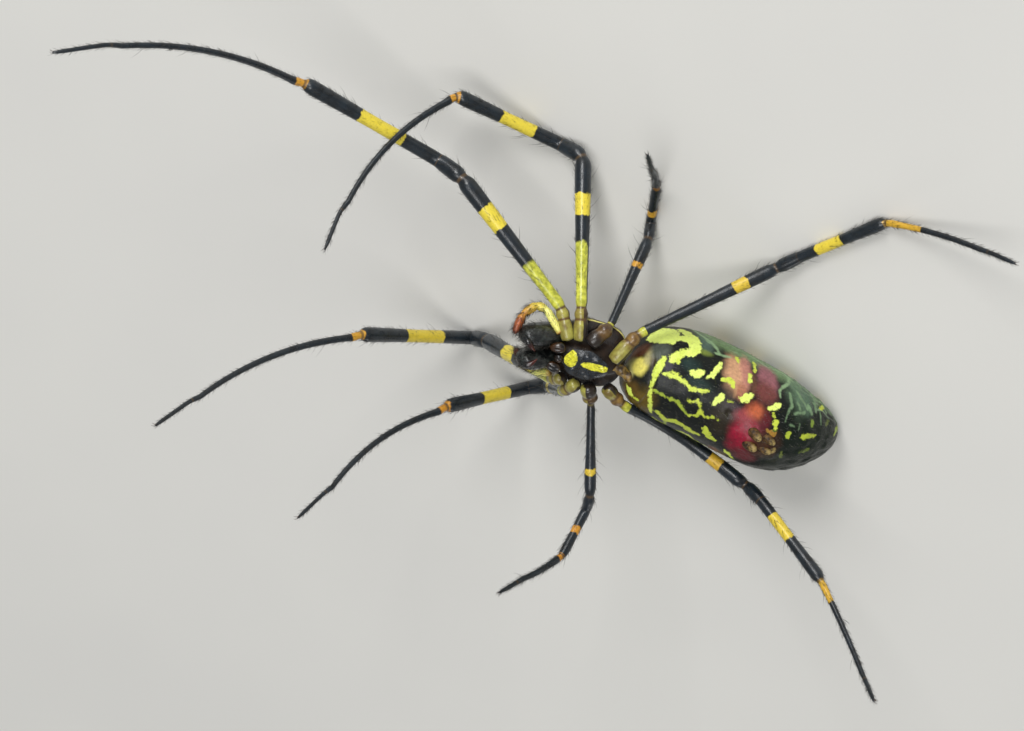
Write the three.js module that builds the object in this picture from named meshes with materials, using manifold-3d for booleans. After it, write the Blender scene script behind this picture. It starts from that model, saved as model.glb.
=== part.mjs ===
// Golden silk orb weaver, an adult female, life size, lying on its back with the legs raised as in its web.
// Millimetres, +Z up. The head points to -Y and the spider's right side to +X, so the underside faces +Z.
import * as THREE from 'three';
import { mergeVertices } from 'three/addons/utils/BufferGeometryUtils.js';
import Module from 'manifold-3d';

const wasm = await Module();
wasm.setup();

// Driving dimensions
const bodyHeight = 10;
const floorLevel = 0.36;
const jointGap = 0.08;
const socketGap = 0.04;
const tubeSides = 10;
const slimSides = 8;
const bendCut = 0.8;

// The front body's own axes are x to its right, y to its rear and z to its underside, from the sternum's centre.
const frontTurn = new THREE.Euler(THREE.MathUtils.degToRad(-14), THREE.MathUtils.degToRad(-8.5), 0);
const carapace = {
  rim: -1.35, width: 2.75, headWidth: 1.8, frontY: -4.2, rearY: 2.5, dome: 1.2, headDome: 1.7,
  belly: 1.95, headBelly: 1.2,
};
const sternumSize = { width: 2.5, front: -2.1, rear: 1.35, top: 0.95, thickness: 0.26 };
const cheliceraSize = { side: 0.88, shift: -0.28, rear: -2.5, top: -1.4, wide: 0.86, deep: 1.13 };
const cheliceraLean = { left: 50, right: 43 };
const cheliceraOutline = [[0, 0], [0.62, 0.1], [0.93, 1.0], [1, 2.0], [0.99, 2.9], [0.76, 3.65], [0.42, 3.95], [0, 4.05]];
const fangJoints = {
  left: [[-1.3, -5.15, 1.6], [-1.05, -4.8, 1.95], [-0.5, -4.3, 1.6]],
  right: [[0.7, -4.8, 1.9], [0.5, -4.4, 2.2], [-0.05, -4.0, 1.75]],
};
const fangThickness = [[0, 0.2], [0.4, 0.24], [0.85, 0.17], [1.15, 0.09]];

// The rear body's own axes are the same way round, from its front end.
const abdomenTurn = new THREE.Euler(
  THREE.MathUtils.degToRad(-25), THREE.MathUtils.degToRad(-12.5), THREE.MathUtils.degToRad(-10), 'ZXY');
const abdomenFront = new THREE.Vector3(1.1, 2.56, 7.95);
const abdomenSway = { dorsal: 0.8, side: 0.43, peak: 2.5, halfWave: 11 };
const abdomenOutline = [
  [0, -0.45], [1.7, -0.2], [3.0, 1.2], [3.65, 3.3], [3.9, 6.2], [3.95, 9], [3.75, 11.7], [3.05, 13.9],
  [2.15, 15.5], [1.1, 16.7], [0, 17.1],
];

// One entry for each pair of legs: where the leg leaves the body, its segments' lengths and its half thicknesses.
const legPairs = [
  {
    hip: [1.3, -2.1, 0.2], root: [3.3, -3.2, -0.8], lengths: [12.2, 2.5, 12.0, 15.8, 4.3],
    coxa: 0.57, femur: [0.46, 0.58, 0.68], patella: 0.68, tibia: [0.56, 0.52, 0.6], metatarsus: [0.34, 0.28],
    tarsus: 0.25, bow: 0.055,
  },
  {
    hip: [1.5, -1.25, 0.2], root: [3.7, -1.8, -0.8], lengths: [11.6, 2.4, 9.2, 12.9, 3.7],
    coxa: 0.57, femur: [0.44, 0.54, 0.65], patella: 0.66, tibia: [0.55, 0.5, 0.58], metatarsus: [0.32, 0.27],
    tarsus: 0.25, bow: 0.065,
  },
  {
    hip: [1.5, -0.6, 0.25], root: [2.9, 0.6, -0.6], lengths: [7.9, 1.7, 4.3, 5.0, 2.1],
    coxa: 0.66, femur: [0.32, 0.36, 0.46], patella: 0.46, tibia: [0.4, 0.36, 0.38], metatarsus: [0.28, 0.26],
    tarsus: 0.25, bow: 0.02,
  },
  {
    hip: [0.65, 1.45, 0.4], root: [2.9, 2.7, -0.6], lengths: [11.6, 2.0, 7.9, 9.0, 2.7],
    coxa: 0.6, femur: [0.4, 0.44, 0.54], patella: 0.54, tibia: [0.46, 0.44, 0.5], metatarsus: [0.27, 0.25],
    tarsus: 0.25, bow: 0.02,
  },
];

// The pose: for each leg, the heading and the rise in degrees of its femur, patella, tibia, metatarsus and tarsus.
const legPose = {
  left: [
    [[-120, -9], [-91, -20], [-115, 21], [-110, 42], [-78, 42]],
    [[-148, -40], [-79, -24], [-110, 23], [-29, 60], [21, 65]],
    [[-173, -60], [-124, -67], [-179, 16], [-180, 44], [-169, 31]],
    [[127, -38], [137, -12], [138, 0], [110, 19], [109, 28]],
  ],
  right: [
    [[-54.41, -40.78], [-49, -33], [-120, 54], [-82, 62], [-87, 79]],
    [[-24.22, -49.38], [-48, -14], [-109, 62], [-58, 67], [-61, 81]],
    [[22.88, 23.62], [-2, -13], [-1, 59], [-87, 69], [-101, 72]],
    [[65.42, -14.77], [94.3, 35.1], [74.6, 27.3], [74.6, 44.9], [103.9, 57.5]],
  ],
};

// The right legs leave the body further back than the left ones, and the last femur bows away under the rear body.
const rightSeats = [
  { hip: [1.9, -1.75, 0.15], root: [2.75, -2.55, -0.95], reach: 12.51 },
  { hip: [2.0, -0.6, 0.1], root: [3.45, -1.5, -0.8], reach: 11.73 },
  { hip: [2.0, 0.15, 0.1], root: [3.6, 0.75, -0.6], reach: 7.23 },
  { hip: [1.75, 1.5, 0], root: [3.0, 2.85, -0.5], reach: 12.03 },
];
const femurBow = { leg_right_4: new THREE.Vector3(0.58, -0.5, -1.39) };

// Palps, in the front body's own axes: joints from the root to the tip, with a half thickness at each.
const palpJoints = {
  left: [[-1.7, -2.8, 0.1], [-2.9, -4.3, -0.8], [-3.05, -5.1, -0.75], [-2.35, -5.9, -0.1], [-1.05, -6.15, 0.9]],
  right: [[1.7, -2.8, 0.1], [2.35, -4.0, -0.55], [2.15, -4.75, -1.15], [1.7, -5.4, -1.35], [1.1, -5.75, -0.95]],
};
const palpThickness = [0.34, 0.32, 0.34, 0.36, 0.26];

// Eyes: the ray's side and height above the rim where each one meets the head, and its radius.
const eyePlaces = {
  front_median: { side: 0.3, height: 0.62, radius: 0.2, rise: 0 },
  rear_median: { side: 0.36, height: 1.12, radius: 0.19, rise: 20 },
  front_lateral: { side: 1.2, height: 0.5, radius: 0.16, rise: 0 },
  rear_lateral: { side: 1.32, height: 0.86, radius: 0.16, rise: 20 },
};

const colours = {
  black: 0x10141a, carapace: 0x2b211c, sternum: 0x15181c, jaw: 0x0d0e11, palp: 0xc98a1c,
  coxa: 0x8c7a1f, abdomen: 0x6f7a22, spinneret: 0x7d5b33, eye: 0x050506, pedicel: 0x3a2f1c,
};

function material(colour, roughness = 0.35) {
  return new THREE.MeshStandardMaterial({ color: colour, roughness, metalness: 0 });
}

// Keeps only the positions, merges the shared corners and drops triangles without area.
function welded(geometry) {
  const bare = geometry.clone();
  bare.deleteAttribute('normal');
  bare.deleteAttribute('uv');
  bare.clearGroups();
  const merged = mergeVertices(bare, 1e-4);
  const corners = merged.index.array;
  const kept = [];
  for (let i = 0; i < corners.length; i += 3) {
    const [a, b, c] = [corners[i], corners[i + 1], corners[i + 2]];
    if (a !== b && b !== c && c !== a) {
      kept.push(a, b, c);
    }
  }
  merged.setIndex(kept);
  return merged;
}

function toSolid(geometry) {
  const merged = welded(geometry);
  return new wasm.Manifold(new wasm.Mesh({
    numProp: 3,
    vertProperties: new Float32Array(merged.attributes.position.array),
    triVerts: new Uint32Array(merged.index.array),
  }));
}

function fromSolid(solid) {
  const mesh = solid.getMesh();
  const geometry = new THREE.BufferGeometry();
  geometry.setAttribute('position', new THREE.BufferAttribute(new Float32Array(mesh.vertProperties), 3));
  geometry.setIndex(new THREE.BufferAttribute(new Uint32Array(mesh.triVerts), 1));
  geometry.computeVertexNormals();
  return geometry;
}

// A piece cut to leave room for its neighbours.
function fitted(geometry, tools) {
  let solid = toSolid(geometry);
  for (const tool of tools) {
    solid = solid.subtract(toSolid(tool));
  }
  const pieces = solid.decompose();
  return fromSolid(pieces.reduce((largest, piece) => (piece.volume() > largest.volume() ? piece : largest)));
}

// A straight path with its corners rounded, with a bow where one is asked for and the femur's middle shifted.
function roundedPath(joints, bows = [], shift = null) {
  const path = new THREE.CurvePath();
  let start = joints[0].clone();
  for (let i = 1; i < joints.length; i += 1) {
    const before = joints[i - 1];
    const here = joints[i];
    const along = here.clone().sub(before);
    const after = i < joints.length - 1 ? joints[i + 1].clone().sub(here) : null;
    const cut = after ? Math.min(bendCut, 0.42 * along.length(), 0.42 * after.length()) : 0;
    const end = here.clone().addScaledVector(along.clone().normalize(), -cut);
    const middle = start.clone().add(end).multiplyScalar(0.5);
    if (bows[i] && after) {
      const outward = here.clone().sub(before).normalize().multiplyScalar(-1);
      const previous = before.clone().sub(joints[i - 2]).normalize();
      const turn = previous.sub(after.clone().normalize());
      turn.addScaledVector(outward, -turn.dot(outward)).normalize();
      middle.addScaledVector(turn, 2 * bows[i] * along.length());
    }
    if (shift && i === 2) {
      middle.addScaledVector(shift, 2);
    }
    path.add(new THREE.QuadraticBezierCurve3(start, middle, end));
    if (after) {
      const next = here.clone().addScaledVector(after.clone().normalize(), cut);
      path.add(new THREE.QuadraticBezierCurve3(end, here.clone(), next));
      start = next;
    }
  }
  return path;
}

// Lengths along a rounded path at which its corners' middles lie.
function cornerPlaces(path) {
  const lengths = path.getCurveLengths();
  const places = [0];
  for (let i = 1; i < path.curves.length; i += 2) {
    places.push((lengths[i - 1] + lengths[i]) / 2);
  }
  places.push(lengths[lengths.length - 1]);
  return places;
}

// A closed tube along part of a path. Each station has a length along the path and a half thickness.
function tubeAlong(path, frames, stations, sides = tubeSides) {
  const rows = stations.length - 1;
  const geometry = new THREE.CylinderGeometry(1, 1, 1, sides, rows);
  const position = geometry.attributes.position;
  const total = path.getLength();
  const steps = frames.normals.length - 1;
  const point = new THREE.Vector3();
  for (let i = 0; i < position.count; i += 1) {
    const row = Math.round((0.5 - position.getY(i)) * rows);
    const [place, thickness] = stations[row];
    const step = Math.round((place / total) * steps);
    point.copy(path.getPointAt(place / total));
    point.addScaledVector(frames.normals[step], position.getX(i) * thickness);
    point.addScaledVector(frames.binormals[step], position.getZ(i) * thickness);
    position.setXYZ(i, point.x, point.y, point.z);
  }
  return geometry;
}

// Stations from one joint to the next, with narrowed ends.
function segmentStations(from, to, thicknesses, rows = 4, narrow = 0.8) {
  const stations = [[from, thicknesses[0] * narrow]];
  for (let row = 0; row <= rows; row += 1) {
    const share = row / rows;
    const at = share * (thicknesses.length - 1);
    const low = Math.min(Math.floor(at), thicknesses.length - 2);
    const thickness = THREE.MathUtils.lerp(thicknesses[low], thicknesses[low + 1], at - low);
    const margin = Math.min(0.25, (to - from) / 8);
    stations.push([THREE.MathUtils.lerp(from + margin, to - margin, share), thickness]);
  }
  stations.push([to, thicknesses[thicknesses.length - 1] * narrow]);
  return stations;
}

function smooth(low, high, value) {
  return THREE.MathUtils.smoothstep(value, low, high);
}

const nodes = [];
function addNode(name, geometry, colour, roughness) {
  nodes.push({ name, geometry, colour, roughness });
}

// The front body's axes placed in the model.
const frontPlace = new THREE.Matrix4().makeRotationFromEuler(frontTurn);
frontPlace.setPosition(0, 0, bodyHeight);
const abdomenPlace = new THREE.Matrix4().makeRotationFromEuler(abdomenTurn);
abdomenPlace.setPosition(abdomenFront);

function inFront(x, y, z) {
  return new THREE.Vector3(x, y, z).applyMatrix4(frontPlace);
}

// Legs
function legGeometries(name, pair, seat, pose, mirror) {
  const [hipX, hipY, hipZ] = seat.hip;
  const [rootX, rootY, rootZ] = seat.root;
  const lengths = [seat.reach ?? pair.lengths[0], ...pair.lengths.slice(1)];
  const joints = [inFront(mirror * hipX, hipY, hipZ), inFront(mirror * rootX, rootY, rootZ)];
  pose.forEach(([heading, rise], i) => {
    const flat = Math.cos(THREE.MathUtils.degToRad(rise)) * lengths[i];
    const climb = Math.sin(THREE.MathUtils.degToRad(rise)) * lengths[i];
    const turn = THREE.MathUtils.degToRad(heading);
    const step = new THREE.Vector3(flat * Math.cos(turn), flat * Math.sin(turn), climb);
    joints.push(joints[joints.length - 1].clone().add(step));
  });
  const path = roundedPath(joints, [0, 0, 0, 0, 0, pair.bow, 0], femurBow[name]);
  const frames = path.computeFrenetFrames(240, false);
  const [start, root, knee, patellaEnd, tibiaEnd, metatarsusEnd, tip] = cornerPlaces(path);
  const half = jointGap / 2;
  const coxa = segmentStations(start, root - half, [pair.coxa * 0.9, pair.coxa, pair.femur[0] * 1.05], 2, 0.85);
  const femur = segmentStations(root + half, knee - half, pair.femur, femurBow[name] ? 6 : 3);
  const patella = [
    [knee + half, pair.patella * 0.85], [knee + 0.35, pair.patella], [patellaEnd - 0.5, pair.patella],
    [patellaEnd, pair.patella * 0.98], [patellaEnd + 0.5, pair.tibia[0] * 1.04],
  ];
  const tibia = segmentStations(patellaEnd + 1.1, tibiaEnd - half, pair.tibia, 3).slice(1);
  const metatarsus = segmentStations(tibiaEnd + half, metatarsusEnd - 0.3, pair.metatarsus, 4);
  const tarsus = [
    [metatarsusEnd + 0.2, pair.tarsus], [(metatarsusEnd + tip) / 2, pair.tarsus], [tip - 0.25, pair.tarsus],
    [tip, pair.tarsus * 0.6],
  ];
  return {
    coxa: tubeAlong(path, frames, coxa, slimSides),
    femur: tubeAlong(path, frames, femur),
    tibia: tubeAlong(path, frames, patella.concat(tibia)),
    metatarsus: tubeAlong(path, frames, metatarsus.slice(0, -1).concat(tarsus), slimSides),
    femurTool: tubeAlong(path, frames, femur.map(([place, thickness]) => [place, thickness + socketGap])),
    coxaTool: tubeAlong(path, frames, coxa.map(([place, thickness]) => [place, thickness + socketGap]), slimSides),
  };
}

const socketTools = [];
const femurTools = {};
for (const side of ['left', 'right']) {
  const mirror = side === 'left' ? -1 : 1;
  legPairs.forEach((pair, i) => {
    const name = `leg_${side}_${i + 1}`;
    const seat = side === 'right' ? rightSeats[i] : pair;
    const leg = legGeometries(name, pair, seat, legPose[side][i], mirror);
    addNode(`${name}_coxa`, fitted(leg.coxa, socketTools), colours.coxa, 0.4);
    addNode(`${name}_femur`, leg.femur, colours.black, 0.3);
    addNode(`${name}_tibia`, leg.tibia, colours.black, 0.3);
    addNode(`${name}_metatarsus`, leg.metatarsus, colours.black, 0.35);
    socketTools.push(leg.coxaTool);
    femurTools[name] = leg.femurTool;
  });
}

// Chelicerae, each a leaning pear-shaped solid, and the fangs folded across their ends
function cheliceraGeometry(mirror, extra) {
  const { side, shift, rear, top, wide, deep } = cheliceraSize;
  const lean = mirror < 0 ? cheliceraLean.left : cheliceraLean.right;
  const places = cheliceraOutline.map(([radius, along]) => new THREE.Vector2(radius, along));
  places[0].y -= extra;
  places[places.length - 1].y += extra;
  const points = new THREE.SplineCurve(places).getPoints(9);
  points[0].x = 0;
  points[points.length - 1].x = 0;
  const geometry = new THREE.LatheGeometry(points, 12);
  geometry.scale(wide + extra, 1, deep + extra);
  geometry.rotateX(THREE.MathUtils.degToRad(90 + lean));
  geometry.translate(mirror * side + shift, rear, top);
  return geometry.applyMatrix4(frontPlace);
}

const coxaTools = [...socketTools];
for (const side of ['left', 'right']) {
  const mirror = side === 'left' ? -1 : 1;
  addNode(`chelicera_${side}`, fitted(cheliceraGeometry(mirror, 0), coxaTools), colours.jaw, 0.2);
  socketTools.push(cheliceraGeometry(mirror, socketGap));
  const bend = fangJoints[side].map(([x, y, z]) => inFront(x, y, z));
  const path = new THREE.QuadraticBezierCurve3(...bend);
  const fang = tubeAlong(path, path.computeFrenetFrames(40, false), fangThickness, slimSides);
  addNode(`fang_${side}`, fang, colours.jaw, 0.2);
}

// Palps
for (const side of ['left', 'right']) {
  const joints = palpJoints[side].map(([x, y, z]) => inFront(x, y, z));
  const path = roundedPath(joints);
  const frames = path.computeFrenetFrames(120, false);
  const places = cornerPlaces(path);
  const stations = [[0, palpThickness[0] * 0.8]];
  for (let i = 1; i < places.length; i += 1) {
    stations.push([(places[i - 1] * 2 + places[i]) / 3, palpThickness[i - 1]]);
    stations.push([places[i], palpThickness[i]]);
  }
  const wider = stations.map(([place, thickness]) => [place, thickness + socketGap]);
  addNode(`pedipalp_${side}`, fitted(tubeAlong(path, frames, stations, slimSides), socketTools), colours.palp, 0.4);
  socketTools.push(tubeAlong(path, frames, wider, slimSides));
}

// Front body under its shield: wide and domed above the legs, narrow between them
function frontBodyGeometry() {
  const geometry = new THREE.SphereGeometry(1, 18, 12);
  const position = geometry.attributes.position;
  const halfLength = (carapace.rearY - carapace.frontY) / 2;
  const middle = (carapace.rearY + carapace.frontY) / 2;
  for (let i = 0; i < position.count; i += 1) {
    const [sx, sy, sz] = [position.getX(i), position.getY(i), position.getZ(i)];
    const y = middle + halfLength * sy * 0.98;
    const head = 1 - smooth(-2.8, -1.2, y);
    const blunt = Math.sqrt(Math.max(0, 1 - sy ** 4)) / Math.max(1e-6, Math.sqrt(1 - sy * sy));
    const width = THREE.MathUtils.lerp(carapace.width, carapace.headWidth, head) * Math.min(blunt, 3);
    const under = Math.max(0, sz);
    const dome = THREE.MathUtils.lerp(carapace.dome, carapace.headDome, head) * Math.min(blunt, 3);
    const belly = THREE.MathUtils.lerp(carapace.headBelly, carapace.belly, smooth(-3.4, -2.2, y));
    const x = sx * width * (1 - 0.5 * smooth(0, 0.35, under));
    const z = carapace.rim + (sz > 0 ? sz * belly : sz * dome);
    position.setXYZ(i, x, y, z);
  }
  return geometry.applyMatrix4(frontPlace);
}

let frontBody = toSolid(frontBodyGeometry());
for (const tool of socketTools) {
  frontBody = frontBody.subtract(toSolid(tool));
}

// Sternum, a shield-shaped plate between the legs, with the labium and maxillae before it
function sternumGeometry() {
  const { width, front, rear, top, thickness } = sternumSize;
  const outline = new THREE.Shape();
  outline.moveTo(0, rear);
  outline.bezierCurveTo(0.35 * width, rear * 0.7, 0.56 * width, 0, 0.42 * width, front * 0.72);
  outline.quadraticCurveTo(0.3 * width, front, 0, front);
  outline.quadraticCurveTo(-0.3 * width, front, -0.42 * width, front * 0.72);
  outline.bezierCurveTo(-0.56 * width, 0, -0.35 * width, rear * 0.7, 0, rear);
  const bevel = { bevelEnabled: true, bevelThickness: 0.08, bevelSize: 0.08, bevelOffset: -0.08, bevelSegments: 1 };
  const geometry = new THREE.ExtrudeGeometry(outline, { depth: thickness - 0.16, curveSegments: 6, ...bevel });
  geometry.translate(0, 0, top - thickness + 0.08);
  return geometry.applyMatrix4(frontPlace);
}

addNode('sternum', fitted(sternumGeometry(), socketTools), colours.sternum, 0.3);

function mouthPlate(x, y, z, sizeX, sizeY, sizeZ, turn) {
  const geometry = new THREE.SphereGeometry(1, 10, 7);
  geometry.scale(sizeX, sizeY, sizeZ);
  geometry.rotateZ(THREE.MathUtils.degToRad(turn));
  geometry.translate(x, y, z);
  return geometry.applyMatrix4(frontPlace);
}

const mouthPlates = {
  maxilla_left: [-0.82, -2.75, 0.72, 0.38, 0.55, 0.34, 12],
  maxilla_right: [0.82, -2.75, 0.72, 0.38, 0.55, 0.34, -12],
  labium: [0, -2.5, 0.75, 0.34, 0.3, 0.28, 0],
};
for (const [name, [x, y, z, sizeX, sizeY, sizeZ, turn]] of Object.entries(mouthPlates)) {
  const colour = name === 'labium' ? colours.sternum : colours.coxa;
  addNode(name, fitted(mouthPlate(x, y, z, sizeX, sizeY, sizeZ, turn), socketTools), colour, 0.35);
  const tool = mouthPlate(x, y, z, sizeX + socketGap, sizeY + socketGap, sizeZ + socketGap, turn);
  socketTools.push(tool);
  frontBody = frontBody.subtract(toSolid(tool));
}

// Eyes, each set in a socket where a line from ahead meets the head
const headMesh = new THREE.Mesh(fromSolid(frontBody));
const inverseFront = frontPlace.clone().invert();
headMesh.geometry.applyMatrix4(inverseFront);
const eyeBall = new THREE.SphereGeometry(1, 8, 6);
for (const [name, place] of Object.entries(eyePlaces)) {
  for (const side of ['left', 'right']) {
    const mirror = side === 'left' ? -1 : 1;
    const slope = THREE.MathUtils.degToRad(place.rise);
    const direction = new THREE.Vector3(0, Math.cos(slope), Math.sin(slope));
    const aim = new THREE.Vector3(mirror * place.side, -3.9, carapace.rim - place.height);
    const ray = new THREE.Raycaster(aim.clone().addScaledVector(direction, -6), direction);
    const hit = ray.intersectObject(headMesh)[0];
    const centre = (hit ? hit.point : aim).clone().addScaledVector(direction, place.radius * 0.25);
    const eye = eyeBall.clone().scale(place.radius, place.radius, place.radius);
    const socket = eyeBall.clone().scale(place.radius + 0.03, place.radius + 0.03, place.radius + 0.03);
    eye.translate(centre.x, centre.y, centre.z).applyMatrix4(frontPlace);
    socket.translate(centre.x, centre.y, centre.z).applyMatrix4(frontPlace);
    addNode(`eye_${name}_${side}`, eye, colours.eye, 0.05);
    frontBody = frontBody.subtract(toSolid(socket));
  }
}

// Rear body, turned from its outline and swayed: humped over its front end and full beneath its rear
function abdomenGeometry() {
  const outline = new THREE.SplineCurve(abdomenOutline.map(([radius, along]) => new THREE.Vector2(radius, along)));
  const points = outline.getPoints(20);
  points[0].x = 0;
  points[points.length - 1].x = 0;
  const geometry = new THREE.LatheGeometry(points, 20);
  const position = geometry.attributes.position;
  for (let i = 0; i < position.count; i += 1) {
    const along = position.getY(i);
    const sway = Math.cos(Math.PI * (along - abdomenSway.peak) / abdomenSway.halfWave);
    position.setX(i, position.getX(i) - abdomenSway.side * sway);
    position.setZ(i, position.getZ(i) * 1.02 - abdomenSway.dorsal * sway);
  }
  return geometry.applyMatrix4(abdomenPlace);
}

// The last right femur presses lightly on its side.
let abdomen = toSolid(abdomenGeometry()).subtract(toSolid(femurTools.leg_right_4));

// Spinnerets, two pairs of blunt cones in a shallow pit under the rear body
const spinnerets = {
  front: { side: 0.55, along: 9.5, lean: 28, length: 1.4, thickness: 0.44, height: 4.6 },
  rear: { side: 0.5, along: 10.6, lean: 48, length: 1.2, thickness: 0.38, height: 4.72 },
};

function spinneretGeometry(spinneret, mirror, extra) {
  const { side, along, lean, length, thickness, height } = spinneret;
  const geometry = new THREE.CylinderGeometry(thickness * 0.45 + extra, thickness + extra, length + extra, 10, 1);
  geometry.rotateX(THREE.MathUtils.degToRad(90 - lean));
  geometry.translate(mirror * side + 0.3, along, height);
  return geometry.applyMatrix4(abdomenPlace);
}

for (const [name, spinneret] of Object.entries(spinnerets)) {
  for (const side of ['left', 'right']) {
    const mirror = side === 'left' ? -1 : 1;
    addNode(`spinneret_${name}_${side}`, spinneretGeometry(spinneret, mirror, 0), colours.spinneret, 0.6);
    abdomen = abdomen.subtract(toSolid(spinneretGeometry(spinneret, mirror, socketGap)));
  }
}

// Pedicel, the narrow stalk from the front body to the rear body
const pedicelEnds = [inFront(0, 2.0, -0.5), new THREE.Vector3(0.1, 0.25, 1.0).applyMatrix4(abdomenPlace)];
function pedicelGeometry(extra) {
  const path = new THREE.LineCurve3(...pedicelEnds);
  const length = path.getLength();
  const frames = path.computeFrenetFrames(4, false);
  return tubeAlong(path, frames, [[0, 0.5 + extra], [length / 2, 0.42 + extra], [length, 0.5 + extra]]);
}

addNode('pedicel', pedicelGeometry(0), colours.pedicel, 0.5);
frontBody = frontBody.subtract(toSolid(pedicelGeometry(socketGap)));
abdomen = abdomen.subtract(toSolid(pedicelGeometry(socketGap)));

addNode('cephalothorax', fromSolid(frontBody), colours.carapace, 0.5);
addNode('abdomen', fromSolid(abdomen), colours.abdomen, 0.4);

// Flats where the back and the knees rest, all at the floor's level
const floorBlock = new THREE.BoxGeometry(200, 200, 20).translate(0, 0, floorLevel - 10);
const floorSolid = toSolid(floorBlock);

// The model is centred over its origin, which is the middle of its footprint on the floor.
const spider = new THREE.Group();
const wholeBox = new THREE.Box3();
for (const node of nodes) {
  node.geometry.computeBoundingBox();
  if (node.geometry.boundingBox.min.z < floorLevel) {
    node.geometry = fromSolid(toSolid(node.geometry).subtract(floorSolid));
    node.geometry.computeBoundingBox();
  }
  wholeBox.union(node.geometry.boundingBox);
}
const centre = wholeBox.getCenter(new THREE.Vector3());
for (const { name, geometry, colour, roughness } of nodes) {
  const mesh = new THREE.Mesh(geometry, material(colour, roughness));
  mesh.name = name;
  mesh.position.set(-centre.x, -centre.y, -floorLevel);
  spider.add(mesh);
}

export default spider;
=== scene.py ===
import math

import bpy
import numpy as np
from mathutils import Matrix, Vector, noise


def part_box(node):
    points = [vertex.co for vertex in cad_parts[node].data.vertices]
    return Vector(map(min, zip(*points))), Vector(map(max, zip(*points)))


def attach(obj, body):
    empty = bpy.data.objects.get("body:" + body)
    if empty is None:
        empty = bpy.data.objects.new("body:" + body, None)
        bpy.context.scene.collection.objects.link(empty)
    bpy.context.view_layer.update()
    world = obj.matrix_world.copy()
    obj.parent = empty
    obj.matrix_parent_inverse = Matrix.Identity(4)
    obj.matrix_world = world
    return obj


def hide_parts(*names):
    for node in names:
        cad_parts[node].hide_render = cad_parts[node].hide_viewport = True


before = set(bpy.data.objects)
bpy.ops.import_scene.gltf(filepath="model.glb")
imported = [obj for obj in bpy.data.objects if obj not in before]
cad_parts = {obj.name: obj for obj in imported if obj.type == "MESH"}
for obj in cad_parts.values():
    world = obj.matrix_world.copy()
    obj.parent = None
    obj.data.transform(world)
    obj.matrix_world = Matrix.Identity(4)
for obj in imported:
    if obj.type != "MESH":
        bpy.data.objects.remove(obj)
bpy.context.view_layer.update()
bodyName = "root"
millimetre = 0.001
scene = bpy.context.scene
seeds = {
    "legHair": 40, "legSpines": 80, "leftLeg": 10, "wrinkles": 31, "flank": 12,
    "abdomen": 7, "carapace": 21, "sternum": 33, "jaws": 50, "palps": 60,
}

# Places of the two halves of the body
placing = {
    "shift": (2.7009, 5.6002, -0.36),
    "bodyHeight": 10.0,
    "frontTurn": (-14.0, -8.5),
    "abdomenFront": (1.1, 2.56, 7.95),
    "abdomenTurn": (-10.0, -25.0, -12.5),
}


def turned(axis, degrees):
    return Matrix.Rotation(math.radians(degrees), 4, axis)


shift = Vector(placing["shift"])
frontMatrix = Matrix.Translation(shift + Vector((0, 0, placing["bodyHeight"])))
frontMatrix = frontMatrix @ turned("X", placing["frontTurn"][0]) @ turned("Y", placing["frontTurn"][1])
abdomenMatrix = Matrix.Translation(shift + Vector(placing["abdomenFront"]))
for axis, degrees in zip("ZXY", placing["abdomenTurn"]):
    abdomenMatrix = abdomenMatrix @ turned(axis, degrees)


def place(points, matrix=None):
    flat = np.asarray(points, float)
    if matrix is None:
        matrix = Matrix.Translation(shift)
    turn = np.array(matrix.to_3x3())
    return (flat @ turn.T + np.array(matrix.translation)) * millimetre


def unit(vectors):
    lengths = np.linalg.norm(vectors, axis=-1, keepdims=True)
    return vectors / np.maximum(lengths, 1e-12)


def smoothStep(low, high, values):
    share = np.clip((values - low) / (high - low), 0, 1)
    return share * share * (3 - 2 * share)


def deselect():
    if bpy.context.object and bpy.context.object.mode != "OBJECT":
        bpy.ops.object.mode_set(mode="OBJECT")
    bpy.ops.object.select_all(action="DESELECT")


def choose(piece):
    deselect()
    piece.select_set(True)
    bpy.context.view_layer.objects.active = piece


# Makes the faces of a mesh look outward, after joining its doubled corners where asked
def turnOutward(piece, joinDoubles=False):
    choose(piece)
    bpy.ops.object.mode_set(mode="EDIT")
    bpy.ops.mesh.select_all(action="SELECT")
    if joinDoubles:
        bpy.ops.mesh.remove_doubles(threshold=1e-6)
    bpy.ops.mesh.normals_make_consistent(inside=False)
    bpy.ops.object.mode_set(mode="OBJECT")
    bpy.ops.object.shade_smooth()


def cornerPlacesOf(mesh):
    flat = np.zeros(len(mesh.vertices) * 3)
    mesh.vertices.foreach_get("co", flat)
    return flat.reshape(-1, 3)


# Materials: small helpers for the node trees
def newMaterial(name):
    material = bpy.data.materials.new(name)
    material.use_nodes = True
    tree = material.node_tree
    tree.nodes.clear()
    return material, tree, objectPlace(tree)


def put(tree, kind, inputs=None, **settings):
    node = tree.nodes.new("ShaderNode" + kind)
    for key, value in settings.items():
        setattr(node, key, value)
    for socket, source in (inputs or {}).items():
        if isinstance(source, bpy.types.NodeSocket):
            tree.links.new(source, node.inputs[socket])
        else:
            node.inputs[socket].default_value = source
    return node


def objectPlace(tree):
    coordinates = put(tree, "TexCoord").outputs["Object"]
    return put(tree, "Mapping", {"Vector": coordinates, "Scale": (1000, 1000, 1000)}).outputs["Vector"]


def readValue(tree, name):
    return put(tree, "Attribute", attribute_name=name).outputs["Fac"]


def readColour(tree, name):
    return put(tree, "Attribute", attribute_name=name).outputs["Color"]


def grain(tree, where, scale, detail=3.0, roughness=0.55):
    settings = {"Vector": where, "Scale": scale, "Detail": detail, "Roughness": roughness}
    return put(tree, "TexNoise", settings).outputs["Fac"]


def cells(tree, where, scale):
    return put(tree, "TexVoronoi", {"Vector": where, "Scale": scale}).outputs["Distance"]


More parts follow.
